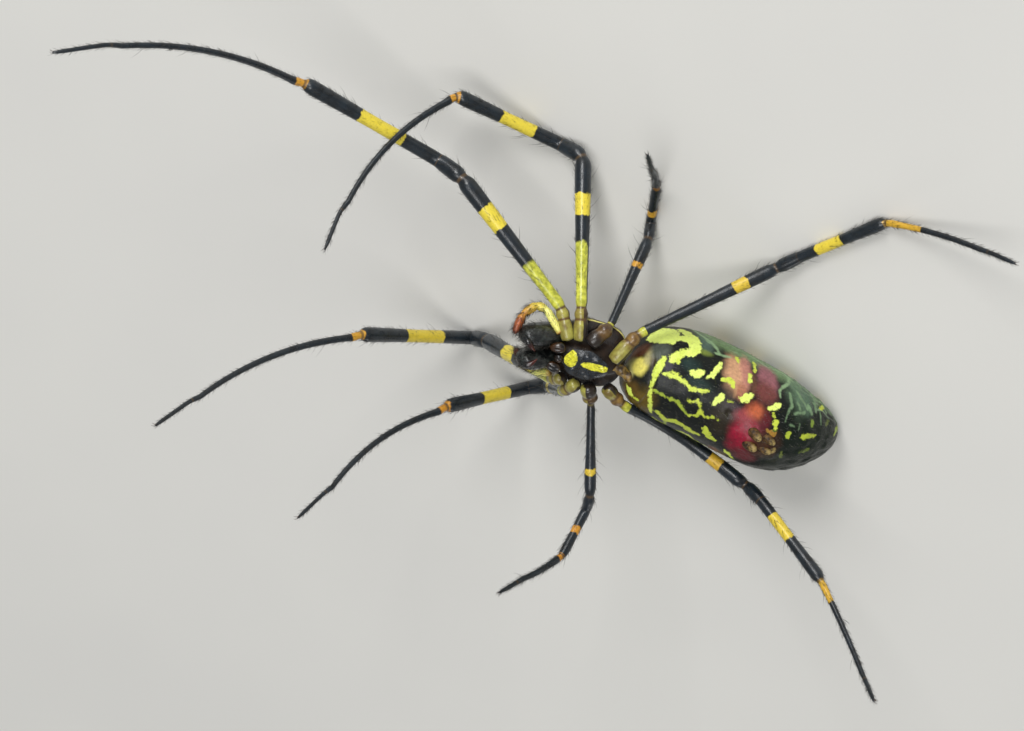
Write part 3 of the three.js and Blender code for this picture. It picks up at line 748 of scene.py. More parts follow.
for side in ("left", "right"):
    for number in range(4):
        skin, points, path, tangents, normals, places, corners = makeLeg(side, number)
        legName = f"leg_{side}_{number + 1}"
        parts = [f"{legName}_{segment}" for segment in ("coxa", "femur", "tibia", "metatarsus")]
        wear(skin, legSkin, parts)
        total = places[-1]
        rootShare, tibiaShare, metaShare = corners[1] / total, corners[4] / total, corners[5] / total
        short = legTable[number]["lengths"][0] / 12.2

        def density(share, tibiaShare=tibiaShare):
            return 0.55 + 1.2 * smoothStep(tibiaShare - 0.12, tibiaShare,
                share) + 1.2 * smoothStep(tibiaShare, 1.0, share)

        def keepFine(share, turnShare, random, rootShare=rootShare):
            return share > rootShare + 0.02

        def keepSpines(share, turnShare, random, rootShare=rootShare, metaShare=metaShare):
            return (share > rootShare + 0.05) & (share < metaShare - 0.02)

        sideSeed = number + (seeds["leftLeg"] if side == "left" else 0)
        fine = dict(legHair["fine"], keep=keepFine, count=int(legHair["fine"]["count"]
            * (0.5 + 0.5 * short)))
        coat = hairCoat(f"{legName}_hair", points, fine, seeds["legHair"] + sideSeed,
            density)
        spines = dict(legHair["spines"], keep=keepSpines)
        extra = hairCoat(f"{legName}_spines", points, spines, seeds["legSpines"] + sideSeed)
        wear(joined([coat, extra], f"{legName}_bristles"), bristleDark)
        hooks = []
        for offset in (-1, 1):
            tipPoint, ahead, aside = path[-3], tangents[-3], np.cross(tangents[-3], normals[-3])
            down = -normals[-3]
            share = np.linspace(0, 1, 9)[:, None]
            reach = clawSettings["length"]
            hook = tipPoint + aside * offset * clawSettings["spread"] * (0.5 + share)
            hook = hook + ahead * reach * np.sin(share * 1.7) + down * reach * (1
                - np.cos(share * 1.7)) * 0.8
            radii = clawSettings["thickness"] * (1 - share[:, 0]) ** 0.7
            radii[0] = 0
            hooks.append(rolledSkin("hook", place(sweptTube(hook, radii, 8))))
        wear(joined(hooks, f"{legName}_claws"), clawHorn)
print("legs ready")

# Abdomen
abdomenShape = {
    "outline": [(0, -0.45), (1.7, -0.2), (3.0, 1.2), (3.65, 3.3), (3.9, 6.2), (3.95, 9), (3.75, 11.7),
        (3.05, 13.9), (2.15, 15.5), (1.1, 16.7), (0, 17.1)],
    "swayDorsal": 0.8, "swaySide": 0.43, "swayPeak": 2.5, "swayHalfWave": 11.0,
    "rows": 190, "sides": 250,
}


def splinePoints(points, count):
    points = np.array(points, float)
    last = len(points) - 1
    result = []
    for step in range(count + 1):
        position = last * step / count
        index = min(int(position), last - 1)
        share = position - index
        before = points[max(index - 1, 0)]
        first, second = points[index], points[index + 1]
        after = points[min(index + 2, last)]
        slopeA, slopeB = (second - before) / 2, (after - first) / 2
        result.append((2 * first - 2 * second + slopeA + slopeB) * share ** 3
            + (-3 * first + 3 * second - 2 * slopeA - slopeB) * share ** 2
            + slopeA * share + first)
    result = np.array(result)
    result[0, 0] = result[-1, 0] = 0
    return result


def sway(along):
    return np.cos(np.pi * (along - abdomenShape["swayPeak"]) / abdomenShape["swayHalfWave"])


def abdomenPoint(along, degrees, radius):
    angle = np.radians(degrees)
    swing = sway(along)
    x = radius * np.sin(angle) - abdomenShape["swaySide"] * swing
    z = radius * np.cos(angle) * 1.02 - abdomenShape["swayDorsal"] * swing
    return np.stack([x, along * np.ones_like(x), z], axis=-1)


outline = splinePoints(abdomenShape["outline"], 600)
run = np.concatenate([[0], np.cumsum(np.linalg.norm(np.diff(outline, axis=0), axis=1))])
evenRun = np.linspace(0, run[-1], abdomenShape["rows"] + 1)
ringRadius = np.maximum(np.interp(evenRun, run, outline[:, 0]), 0)
ringAlong = np.interp(evenRun, run, outline[:, 1])
turns = np.linspace(-180, 180, abdomenShape["sides"] + 1)
along, degrees = np.meshgrid(ringAlong, turns, indexing="ij")
radius = np.repeat(ringRadius[:, None], abdomenShape["sides"] + 1, axis=1)
bare = abdomenPoint(along, degrees, radius)


def surfaceRadius(value):
    order = np.argsort(ringAlong, kind="stable")
    return np.interp(value, ringAlong[order], ringRadius[order])


def onAbdomen(spots):
    spots = np.array(spots, float)
    return abdomenPoint(spots[:, 0], spots[:, 1], surfaceRadius(spots[:, 0]))


def strokeField(points, strokes):
    field, tone = np.full(points.shape[:-1], -9.0), np.zeros(points.shape[:-1])
    for spots, widths, paleness in strokes:
        line = onAbdomen(spots)
        halves = np.interp(np.arange(len(line)), np.linspace(0, len(line) - 1, len(widths)), widths) / 2
        for index in range(len(line) - 1):
            a, b = line[index], line[index + 1]
            step = b - a
            share = np.clip(((points - a) @ step) / max(step @ step, 1e-9), 0, 1)
            gap = np.linalg.norm(points - a - share[..., None] * step, axis=-1)
            here = halves[index] + (halves[index + 1] - halves[index]) * share - gap
            tone = np.where(here > field, paleness, tone)
            field = np.maximum(field, here)
    return field, tone


# Strokes: spots as (length along the abdomen, angle round it from the underside, left side
# negative), widths, and the paleness of the yellow. The spots and widths were picked by eye in the
# photo, and separate scripts turned them into these numbers, so they aren't typed by hand.
yellowStrokes = [
    ([(0.77, -89), (1.37, -100), (1.85, -91), (2.29, -80)], [1.02, 1.59, 1.71, 0.91], 1.0),
    ([(0.75, -84), (1.38, -79), (1.99, -76)], [0.69, 0.91, 0.91], 1.0),
    ([(2.82, -100), (3.26, -91), (3.64, -79), (3.78, -68), (3.49, -61), (2.97, -58)],
        [0.56, 0.91, 1.02, 0.92, 0.75, 0.62], 0.9),
    ([(2.37, -80), (2.81, -81), (3.19, -80)], [0.69, 0.69, 0.69], 0.9),
    ([(3.04, -60), (2.61, -55), (2.29, -50), (2.18, -46)], [0.52, 0.67, 0.82, 0.52], 0.75),
    ([(2.44, -49), (2.57, -43)], [0.6, 0.22], 0.5),
    ([(1.54, -46), (1.4, -38), (1.24, -29), (1.2, -17), (1.23, -3), (1.37, 8), (1.61, 19), (1.86, 30),
        (2.25, 42)], [0.45, 0.67, 0.6, 0.41, 0.34, 0.3, 0.34, 0.41, 0.22], 0.6),
    ([(1.71, -26), (2.21, -27), (2.59, -26), (3.07, -25), (3.41, -23), (3.87, -19), (4.34, -20),
        (4.79, -21), (5.21, -24)], [0.22, 0.34, 0.45, 0.37, 0.37, 0.37, 0.41, 0.37, 0.22], 0.55),
    ([(2.36, -31), (2.67, -30)], [0.35, 0.27], 0.5),
    ([(1.59, 0), (2.06, 1), (2.55, 2), (3.03, 2), (3.46, 3), (3.92, 9), (4.46, 13)],
        [0.2, 0.27, 0.24, 0.29, 0.35, 0.32, 0.21], -0.3),
    ([(3.97, -5), (4.37, -5), (4.75, -9), (5.0, -6), (5.21, 2), (5.53, 5), (5.86, 5)],
        [0.22, 0.25, 0.25, 0.22, 0.3, 0.37, 0.22], 0.05),
    ([(4.69, 13), (5.01, 10), (5.27, 5)], [0.27, 0.27, 0.35], 0.1),
    ([(6.16, 1), (6.64, 1)], [0.29, 0.18], -0.1),
    ([(2.5, 32), (2.83, 35), (3.4, 41), (3.94, 33), (4.44, 33), (4.99, 35), (5.54, 37), (6.03, 36)],
        [0.43, 0.49, 0.55, 0.49, 0.49, 0.55, 0.49, 0.29], 0.1),
    ([(3.35, 42), (3.75, 55)], [0.27, 0.16], -0.2),
    ([(6.14, 20), (6.37, 25), (6.74, 29), (7.22, 31)], [0.42, 0.69, 0.57, 0.31], 0.15),
    ([(2.63, 55), (3.23, 62), (3.78, 59)], [0.24, 0.38, 0.24], 0.1),
    ([(4.9, 59), (5.25, 54), (5.73, 53), (6.22, 61), (6.6, 61), (6.83, 60)],
        [0.38, 0.55, 0.38, 0.49, 0.53, 0.28], 0.3),
    ([(7.08, 59), (7.63, 63)], [0.28, 0.29], 0.1),
    ([(6.03, -42), (6.46, -46), (6.8, -45), (7.02, -41)], [0.22, 0.45, 0.49, 0.26], 0.4),
    ([(8.53, -85), (8.54, -72)], [0.27, 0.27], 0.3),
    ([(8.13, -63), (8.17, -56)], [0.39, 0.39], 0.6),
    ([(7.08, -78), (7.15, -73)], [0.35, 0.27], 0.3),
    ([(10.05, -37), (10.33, -41), (10.69, -46)], [0.37, 0.56, 0.45], 1.0),
    ([(10.35, -35), (10.5, -31)], [0.23, 0.23], 0.0),
    ([(10.73, -28), (10.81, -20)], [0.41, 0.34], 0.2),
    ([(10.3, -14), (10.89, -14)], [0.32, 0.39], -1.6),
    ([(11.96, -16), (12.03, -20)], [0.41, 0.41], -0.2),
    ([(13.29, -21), (13.88, -24), (14.31, -27)], [0.48, 0.4, 0.27], -0.1),
    ([(13.83, -39), (13.84, -46)], [0.34, 0.37], -0.5),
    ([(16.33, -33), (16.47, -50), (16.7, -74)], [0.3, 0.45, 0.25], -0.3),
    ([(13.54, 1), (14.17, -3)], [0.27, 0.29], -1.0),
    ([(12.03, 6), (12.2, 12)], [0.27, 0.27], -1.1),
    ([(15.21, -49), (15.39, -59)], [0.27, 0.27], -1.1),
    ([(14.58, -74), (14.86, -83)], [0.37, 0.37], 0.0),
    ([(3.71, -37), (4.1, -37), (4.38, -40)], [0.45, 0.67, 0.6], 1.0),
    ([(4.9, -37), (5.16, -41), (5.47, -49), (5.72, -56), (5.78, -61)], [0.22, 0.45, 0.48, 0.37, 0.22], 1.1),
    ([(5.91, -15), (6.11, -20), (6.33, -25)], [0.45, 0.6, 0.49], 1.0),
    ([(7.82, -32), (8.08, -36), (8.27, -39)], [0.52, 0.71, 0.6], 0.9),
    ([(8.26, 38), (8.72, 43), (9.38, 52)], [0.26, 0.45, 0.26], 0.5),
    ([(-0.14, 27), (0.07, 29), (0.38, 32)], [0.3, 0.52, 0.3], 0.6),
    ([(0.55, 32), (0.87, 30)], [0.27, 0.3], 0.0),
    ([(6.86, -23), (7.19, -26)], [0.17, 0.2], -0.2),
]
# Pale green wrinkles over the tail and broken lines on the left flank. The first line is painted highlight,
# the pale sheen along the left flank.
greenStrokes = [
    ([(3.84, -111), (4.15, -100), (4.6, -92), (5.11, -86), (5.46, -78), (5.61, -73)],
        [0.24, 0.28, 0.3, 0.3, 0.3, 0.24], 0.9),
    ([(5.36, -71), (6.01, -72), (6.58, -75)], [0.27, 0.25, 0.16], 0.9),
    ([(8.01, -97), (8.75, -97), (9.57, -95), (10.44, -96), (11.23, -102), (11.66, -96), (11.39, -80),
        (10.91, -71), (10.65, -63), (10.69, -56)], [0.16, 0.26, 0.24, 0.2, 0.24, 0.32, 0.3, 0.25, 0.22,
            0.17], 0.9),
    ([(11.52, -67), (11.63, -59), (11.77, -52), (11.58, -45), (11.49, -38), (11.44, -31)],
        [0.22, 0.25, 0.24, 0.19, 0.18, 0.13], 0.4),
    ([(12.18, -75), (12.54, -69), (12.92, -65), (13.24, -59)], [0.3, 0.28, 0.27, 0.25], 0.4),
    ([(12.8, -105), (13.41, -106), (13.77, -90), (13.95, -75), (14.04, -62)],
        [0.34, 0.45, 0.45, 0.34, 0.26], 0.4),
    ([(13.97, -98), (14.09, -81), (14.47, -61), (14.68, -45)], [0.16, 0.16, 0.14, 0.11], 0.4),
    ([(12.12, -45), (12.99, -52)], [0.23, 0.24], 0.4),
    ([(12.27, -60), (12.5, -53)], [0.25, 0.24], 0.4),
    ([(13.22, -65), (13.66, -55)], [0.3, 0.3], 0.4),
    ([(13.25, -103), (14.28, -103), (15.11, -98)], [0.2, 0.24, 0.2], 0.4),
    ([(12.46, -110), (12.68, -89)], [0.2, 0.22], 0.4),
    ([(15.68, -99), (16.19, -90)], [0.16, 0.16], 0.4),
    ([(11.9, -30), (12.27, -30)], [0.15, 0.15], 0.4),
    ([(12.72, -36), (12.68, -28)], [0.1, 0.1], 0.4),
]


def wrinkleStrokes():
    random = np.random.default_rng(seeds["wrinkles"])
    strokes = []
    for _ in range(70):
        start, around = random.uniform(4.6, 15.6), random.uniform(-124, -86)
        if start > 11.8:
            around = random.uniform(-150, -62)
        steps = np.arange(0, random.uniform(0.6, 1.6), 0.35)
        slant = random.uniform(-9, 9)
        spots = [(start + step, around + slant * step + random.normal(0, 1.4)) for step in steps]
        strokes.append((spots, list(random.uniform(0.07, 0.2, len(spots))), random.uniform(0, 0.8)))
    return strokes


def flankStrokes():
    random = np.random.default_rng(seeds["flank"])
    lines = []
    for half, base in ((1, 74), (1, 92), (1, 112), (1, 132), (-1, 128), (-1, 140)):
        lineStart = 1.2 + random.uniform(0, 0.6)
        while lineStart < 15.4:
            lineLength = random.uniform(1.4, 3.4)
            steps = np.arange(0, lineLength, 0.55)
            spots = [(lineStart + step, half * (base + 5 * math.sin((lineStart + step) * 1.4 + base)
                + random.normal(0, 2.0))) for step in steps]
            if len(spots) > 1 and spots[-1][0] < 16.0:
                lines.append((spots, list(random.uniform(0.16, 0.4, len(spots))), random.uniform(0.1, 0.7)))
            lineStart += lineLength + random.uniform(0.25, 0.8)
    return lines


wobble = np.array([noise.noise(Vector(point) * 1.3) for point in bare.reshape(-1, 3)]).reshape(along.shape)
fine = np.array([noise.noise(Vector(point) * 4.0) for point in bare.reshape(-1, 3)]).reshape(along.shape)
yellowField, yellowTone = strokeField(bare, yellowStrokes + flankStrokes())
yellowField += 0.04 * fine
greenField, greenTone = strokeField(bare, greenStrokes + wrinkleStrokes())
greenField += 0.04 * fine


def spot(alongAt, degreesAt, reachAlong, reachAround, soft=0.5):
    turnAway = (degrees - degreesAt + 180) % 360 - 180
    around = np.radians(turnAway) * np.maximum(surfaceRadius(np.full_like(along, alongAt)), 0.8)
    reach = (np.sqrt(((along - alongAt) / reachAlong) ** 2 + (around / reachAround) ** 2)
        + 0.28 * wobble + 0.1 * fine)
    return 1 - smoothStep(1 - soft, 1 + soft, reach)


def tinted(base, weight, colour):
    return base * (1 - weight[..., None]) + np.array(colour[:3]) * weight[..., None]


paint = np.ones(bare.shape) * np.array(rgb(17, 20, 17)[:3])
caudal = smoothStep(10.6, 12.2, along + 0.8 * wobble)
paint = tinted(paint, caudal, rgb(15, 24, 16))
# The pale grey-green of the left flank is partly the flank's own colour and partly painted sheen, the glare
# along that side.
leftFlank = (smoothStep(74, 92, -degrees + 7 * wobble) * smoothStep(3.2, 5.2, along)
    * (1 - 0.5 * smoothStep(11, 15, along)))
paint = tinted(paint, leftFlank * 0.9, rgb(110, 140, 92))
# Soft patches, placed in the same way: length, angle, reach along and around, softness, tone,
# strength.
ovals = [
    (-0.34, -12, 0.24, 1.0, 0.5, (170, 164, 108), 0.85),
    (0.12, -31, 0.45, 0.68, 0.35, (216, 204, 100), 0.95),
    (0.49, -49, 0.3, 0.69, 0.4, (168, 160, 108), 0.85),
    (0.04, -65, 0.52, 0.52, 0.45, (88, 48, 22), 0.9),
    (0.83, -43, 0.22, 0.56, 0.5, (74, 62, 44), 0.7),
    # The next grey patch, on the front of the abdomen, is painted reflection: a sheen of sky light on the
    # glossy skin.
    (1.19, -59, 0.67, 0.67, 0.4, (86, 92, 82), 0.75),
    (1.98, -37, 0.26, 0.39, 0.5, (70, 66, 74), 0.7),
    (4.6, -82, 0.6, 1.02, 0.5, (84, 106, 94), 0.7),
    (4.56, -66, 0.52, 0.27, 0.5, (116, 130, 54), 0.8),
    (3.45, -46, 0.67, 0.5, 0.6, (36, 56, 52), 0.7),
    (4.5, -28, 0.9, 0.45, 0.6, (44, 64, 58), 0.6),
    (7.01, -58, 0.9, 1.61, 0.45, (196, 150, 114), 1.0),
    (7.8, -67, 0.45, 1.52, 0.5, (186, 126, 112), 0.85),
    (7.61, -39, 0.45, 0.63, 0.5, (164, 108, 84), 0.85),
    (7.17, -36, 0.12, 0.47, 0.5, (196, 150, 108), 0.8),
    (9.64, -74, 0.82, 1.39, 0.45, (146, 92, 98), 0.95),
    (9.53, -52, 0.82, 0.88, 0.5, (112, 60, 56), 0.95),
    (8.51, -54, 0.22, 0.9, 0.6, (112, 74, 56), 0.6),
    (6.91, -1, 0.97, 1.58, 0.6, (42, 34, 22), 0.85),
    (6.72, -30, 0.6, 0.61, 0.6, (56, 50, 48), 0.6),
    (7.44, -22, 0.6, 0.37, 0.6, (66, 50, 56), 0.6),
    (8.72, 0, 0.95, 1.85, 0.5, (140, 22, 46), 1.0),
    (9.1, -10, 0.75, 0.75, 0.6, (124, 46, 56), 0.8),
    (9.64, 29, 0.82, 1.02, 0.5, (96, 22, 30), 0.95),
    (8.5, -17, 0.75, 0.6, 0.6, (140, 56, 60), 0.8),
    (9.1, -27, 0.72, 0.52, 0.85, (188, 98, 62), 0.9),
    (9.95, -22, 0.42, 0.85, 0.6, (88, 26, 34), 0.9),
    (10.37, 4, 1.04, 1.06, 0.45, (70, 42, 26), 0.9),
    (11.23, -4, 0.52, 0.94, 0.5, (56, 34, 22), 0.7),
    (12.47, -79, 1.04, 1.8, 0.55, (96, 124, 96), 0.75),
    (13.23, -78, 0.6, 1.6, 0.5, (84, 108, 88), 0.6),
    (7.71, 55, 0.45, 0.63, 0.5, (110, 60, 40), 0.8),
    (1.2, 30, 0.9, 1.4, 0.5, (104, 84, 26), 0.8),
    (0.14, 28, 0.6, 1.0, 0.5, (88, 66, 24), 0.8),
]
for alongAt, degreesAt, reachAlong, reachAround, soft, shade, strength in ovals:
    paint = tinted(paint, spot(alongAt, degreesAt, reachAlong, reachAround, soft) * strength, rgb(*shade))
# The back, unseen in the photo: yellow with grey-blue cross bands, as adults of the species have.
bandSpacing = 2.9
overBack = smoothStep(118, 138, np.abs(degrees) + 7 * wobble)
crossBands = 0.5 + 0.5 * np.cos(2 * math.pi * (along + 0.012 * (180 - np.abs(degrees)) ** 1.3 * 0.5 + 0.35
    * wobble) / bandSpacing)
backTone = tinted(np.ones(bare.shape) * np.array(rgb(214, 196, 66)[:3]), smoothStep(0.52, 0.72, crossBands),
    rgb(92, 118, 116))
backTone = tinted(backTone, smoothStep(0.44, 0.5, crossBands) * (1 - smoothStep(0.56, 0.64, crossBands)),
    rgb(44, 54, 50))
paint = paint * (1 - overBack[..., None]) + backTone * overBack[..., None]
yellowField = yellowField * (1 - overBack) + -0.5 * overBack
greenField = greenField * (1 - overBack) + -0.5 * overBack

# Relief: the furrow behind the lung covers, their low domes, the spinneret mound, wrinkles near the
# tail and small dimples.
relief = np.zeros(along.shape)
relief -= (0.10 * np.exp(-((along - 1.05 - 0.25 * np.cos(np.radians(degrees * 2))) / 0.13) ** 2)
    * (1 - smoothStep(50, 80, np.abs(degrees + 5))))
relief += 0.16 * spot(0.45, -46, 0.75, 0.95, 0.6) + 0.16 * spot(0.45, 40, 0.75, 0.95, 0.6)
relief += 0.12 * spot(0.75, -2, 0.35, 0.6, 0.6)
relief += 0.34 * spot(10.1, 4, 1.35, 1.3, 0.6)
tail = smoothStep(11.0, 13.2, along) * (1 - smoothStep(16.6, 17.1, along))
folds = np.sin(np.radians(degrees) * 17 + 3.2 * wobble + along * 0.9)
relief += 0.035 * folds * tail + 0.03 * np.sin(along * 5.2 + 2.5 * wobble) * tail
relief += 0.03 * wobble
for alongAt, degreesAt in ((3.2, 150), (3.2, -150), (6.0, 156), (6.0, -156), (8.8, 160), (8.8, -160),
    (4.6, -10), (4.9, 12), (7.2, -12), (7.4, 14)):
    relief -= 0.07 * spot(alongAt, degreesAt, 0.22, 0.22, 0.8)
relief -= 0.02
shaped = abdomenPoint(along, degrees, np.maximum(radius + relief * np.minimum(1, radius / 1.2), 0)
    * (radius > 0))
abdomenPoints = place(shaped, abdomenMatrix)
abdomenPoints[..., 2] = np.maximum(abdomenPoints[..., 2], floorGap * millimetre)
abdomen = rolledSkin("abdomen_skin_mesh", abdomenPoints,
    {"yellowEdge": yellowField, "yellowTone": yellowTone, "greenEdge": greenField, "greenTone": greenTone,
        "tail": tail},
    {"zonePaint": paint})

abdomenSkin, tree, where = newMaterial("abdomenSkin")
jag = maths(tree, "MULTIPLY_ADD", grain(tree, where, 3.2, 5.0, 0.7), 0.72, -0.36)
zone = readColour(tree, "zonePaint")
mottled = stretch(tree, grain(tree, where, 4.0, 5.0), 0.3, 0.7, 0.78, 1.22)
zone = shaded(tree, zone, mottled)
freckle = stretch(tree, cells(tree, where, 3.2), 0.05, 0.28, 1.0, 0.0, smooth=True)
zone = blendColour(tree, maths(tree, "MULTIPLY", freckle, 0.1), zone, rgb(120, 128, 60))
toneStops = [
    (0.12, rgb(156, 104, 44)), (0.22, rgb(80, 86, 42)), (0.3, rgb(76, 88, 42)), (0.47, rgb(120, 144, 50)),
    (0.62, rgb(184, 196, 60)), (0.78, rgb(210, 224, 86)), (0.94, rgb(230, 246, 126)),
]
yellowShare = maths(tree, "MULTIPLY_ADD", readValue(tree, "yellowTone"), 1 / 3.2, 2 / 3.2)
yellowHue = ramped(tree, maths(tree, "ADD", yellowShare,
    maths(tree, "MULTIPLY_ADD", grain(tree, where, 2.4, 3.0), 0.16, -0.08)), toneStops)
yellowHue = blendColour(tree, stretch(tree, grain(tree, where, 14.0, 3.0), 0.45, 0.8, 0.0, 0.6), yellowHue,
    rgb(160, 172, 62))
yellowOn = stretch(tree, maths(tree, "ADD", readValue(tree, "yellowEdge"), jag), -0.05, 0.08, smooth=True)
greenOn = stretch(tree, maths(tree, "MULTIPLY_ADD", jag, 0.5, readValue(tree, "greenEdge")), -0.07, 0.1,
    smooth=True)
greenHue = blendColour(tree, readValue(tree, "greenTone"), rgb(98, 124, 92), rgb(146, 176, 130))
colour = blendColour(tree, maths(tree, "MULTIPLY", greenOn, 0.85), zone, greenHue)
colour = blendColour(tree, yellowOn, colour, yellowHue)
leather = maths(tree, "ADD", maths(tree, "MULTIPLY", grain(tree, where, 7.0, 4.0), 0.7),
    maths(tree, "MULTIPLY", cells(tree, where, 11.0), 0.5))
ridges = maths(tree, "MULTIPLY", grain(tree, put(tree, "Mapping",
    {"Vector": where, "Scale": (2.2, 0.5, 2.2)}).outputs[0], 3.0, 3.0), readValue(tree, "tail"))
heights = maths(tree, "ADD", leather, maths(tree, "MULTIPLY", ridges, 3.0))
heights = maths(tree, "ADD", heights, maths(tree, "MULTIPLY", yellowOn, 0.35))
skinNormal = bumped(tree, heights, 0.03, 0.5)
shine = stretch(tree, grain(tree, where, 5.0, 3.0), 0.3, 0.7, 0.3, 0.46)
finishSurface(tree, colour, shine, skinNormal, coat=0.1, coatRoughness=0.25, specular=0.22)
wear(abdomen, abdomenSkin, ["abdomen"])
abdomen.name = abdomen.data.name = "abdomen_hide"
paleHair = softHair("paleHair", rgb(118, 114, 98), rgb(62, 58, 48))
abdomenHair = {"count": 2200, "length": 0.28, "width": 0.007, "lift": 28, "liftSpread": 8, "swirl": 0.3}
down = hairCoat("abdomen_down", abdomenPoints, abdomenHair, seeds["abdomen"],
    lambda share: np.sin(np.pi * np.clip(share, 0.04, 0.98)) ** 0.4)
wear(down, paleHair)
print("abdomen ready")

# Spinnerets, the small tail button and the pedicel
spinneretTable = {
    "front": {"side": 0.55, "along": 9.5, "lean": 28, "length": 1.38, "thickness": 0.42, "height": 4.6},
    "rear": {"side": 0.5, "along": 10.6, "lean": 48, "length": 1.18, "thickness": 0.36, "height": 4.72},
}
spinneretSkin, tree, where = newMaterial("spinneretSkin")
tone = patchy(tree, where, 4.0, 4.0, 0.35, 0.65, rgb(104, 76, 36), rgb(44, 28, 16))
tone = blendColour(tree, stretch(tree, readValue(tree, "tip"), 0.62, 0.95), tone, rgb(160, 138, 84))
rings = put(tree, "TexWave", {"Vector": where, "Scale": 2.2, "Distortion": 5.0,
    "Detail": 3.0}).outputs["Fac"]
tone = blendColour(tree, stretch(tree, grain(tree, where, 5.0, 3.0, 0.6), 0.5, 0.64, 0.0, 0.85), tone,
    rgb(28, 18, 11))
finishSurface(tree, tone, 0.5, bumped(tree, maths(tree, "ADD", rings, grain(tree, where, 12.0)), 0.035,
    0.6), specular=0.3)
for pairName, row in spinneretTable.items():
    for side, mirror in (("left", -1), ("right", 1)):
        share = np.linspace(0, 1, 29)
        lean = math.radians(90 - row["lean"])
        axisDown = np.array((0, math.cos(lean), math.sin(lean)))
        base = np.array((mirror * row["side"] + 0.3, row["along"],
            row["height"])) - axisDown * row["length"] / 2
        curve = base + axisDown * row["length"] * share[:,
            None] + np.array((-mirror * 0.12, 0, 0)) * share[:, None] ** 2
        girth = np.interp(share, [0, 0.08, 0.3, 0.55, 0.6, 0.66, 0.86, 0.96, 1],
            [0, 0.9, 1.02, 0.92, 0.78, 0.84, 0.6, 0.36, 0]) * row["thickness"]
        points = place(sweptTube(curve, girth, 20), abdomenMatrix)
        values = {"tip": np.repeat(share[:, None], 21, axis=1)}
        piece = rolledSkin(f"spinneret_{pairName}_{side}_cone", points, values)
        wear(piece, spinneretSkin, [f"spinneret_{pairName}_{side}"])
share = np.linspace(0, 1, 21)
tailBase = onAbdomen([(11.15, 4)])[0]
curve = tailBase + np.array((0.02, 0.25, 0.5)) * (share[:, None] - 0.35)
girth = 0.34 * np.sqrt(np.clip(1 - (2 * share - 1) ** 2, 0, 1))
button = rolledSkin("tail_button", place(sweptTube(curve, girth, 18), abdomenMatrix),
    {"tip": np.repeat(share[:, None], 19, axis=1)})
wear(button, spinneretSkin)
share = np.linspace(0, 1, 25)
frontTurn3, backTurn3 = np.array(frontMatrix.to_3x3()), np.array(abdomenMatrix.to_3x3())
stalkStart = frontTurn3 @ np.array((0, 1.7, -0.5)) + np.array((0, 0, placing["bodyHeight"]))
stalkEnd = backTurn3 @ np.array((0.1, 0.4, 1.0)) + np.array(placing["abdomenFront"])
curve = stalkStart + (stalkEnd - stalkStart) * share[:, None]
girth = 0.46 + 0.05 * np.cos(share * 2 * math.pi * 3) - 0.06 * np.sin(share * math.pi)
girth[0] = girth[-1] = 0
pedicelShell, tree, where = newMaterial("pedicelShell")
tone = patchy(tree, where, 2.5, 4.0, 0.4, 0.62, rgb(60, 42, 22), rgb(148, 118, 56))
finishSurface(tree, tone, 0.38, bumped(tree, grain(tree, where, 10.0, 4.0), 0.02, 0.4), coat=0.2,
    coatRoughness=0.3)
stalk = rolledSkin("pedicel_stalk", place(sweptTube(curve, girth, 20)))
wear(stalk, pedicelShell, ["pedicel"])
print("spinnerets and pedicel ready")

# Front body: shield, sternum, jaws, palps, eyes
shieldShape = {
    "rim": -1.35, "width": 2.75, "headWidth": 1.8, "frontY": -4.2, "rearY": 2.5, "dome": 1.2,
    "headDome": 1.7, "belly": 1.95, "headBelly": 1.2,
    "rows": 110, "sides": 130,
}


def shieldPoints():
    s = shieldShape
    polar = np.linspace(0, math.pi, s["rows"] + 1)
    around = np.linspace(0, 2 * math.pi, s["sides"] + 1)
    polar, around = np.meshgrid(polar, around, indexing="ij")
    sy = -np.cos(polar)
    sx, sz = np.sin(polar) * np.sin(around), np.sin(polar) * np.cos(around)
    middle, half = (s["rearY"] + s["frontY"]) / 2, (s["rearY"] - s["frontY"]) / 2
    y = middle + half * sy * 0.98
    head = 1 - smoothStep(-2.8, -1.2, y)
    blunt = np.sqrt(np.clip(1 - sy ** 4, 0, None)) / np.maximum(1e-6,
        np.sqrt(np.clip(1 - sy * sy, 1e-12, None)))
    blunt = np.minimum(blunt, 3)
    width = (s["width"] + (s["headWidth"] - s["width"]) * head) * blunt
    dome = (s["dome"] + (s["headDome"] - s["dome"]) * head) * blunt
    belly = s["headBelly"] + (s["belly"] - s["headBelly"]) * smoothStep(-3.4, -2.2, y)
    x = sx * width * (1 - 0.5 * smoothStep(0, 0.35, np.maximum(0, sz)))
    z = s["rim"] + np.where(sz > 0, sz * belly, sz * dome)
    top = smoothStep(0.05, 0.4, -sz)
    angle = np.degrees(np.arctan2(x, -(y - 0.2)))
    grooves = sum(np.exp(-(((np.abs(angle) - a) / 7) ** 2)) for a in (52, 84, 116, 146))
    distance = np.sqrt(x ** 2 + (y - 0.2) ** 2)
    cut = 0.09 * grooves * smoothStep(0.4, 0.9, distance) * (1 - smoothStep(1.9, 2.6, distance)) * top
    cut += 0.22 * np.exp(-((x / 0.28) ** 2 + ((y - 0.35) / 0.42) ** 2)) * top
    z = z + cut
    bareSkin = np.clip(grooves * smoothStep(0.5, 1.0, distance) + np.exp(-((distance / 0.5) ** 2)), 0,
        1) * top
    rimLine = np.exp(-((z - s["rim"] - 0.03) / 0.1) ** 2) * smoothStep(-2.6, -1.6, y)
    return np.stack([x, y, z], axis=-1), bareSkin, top, rimLine


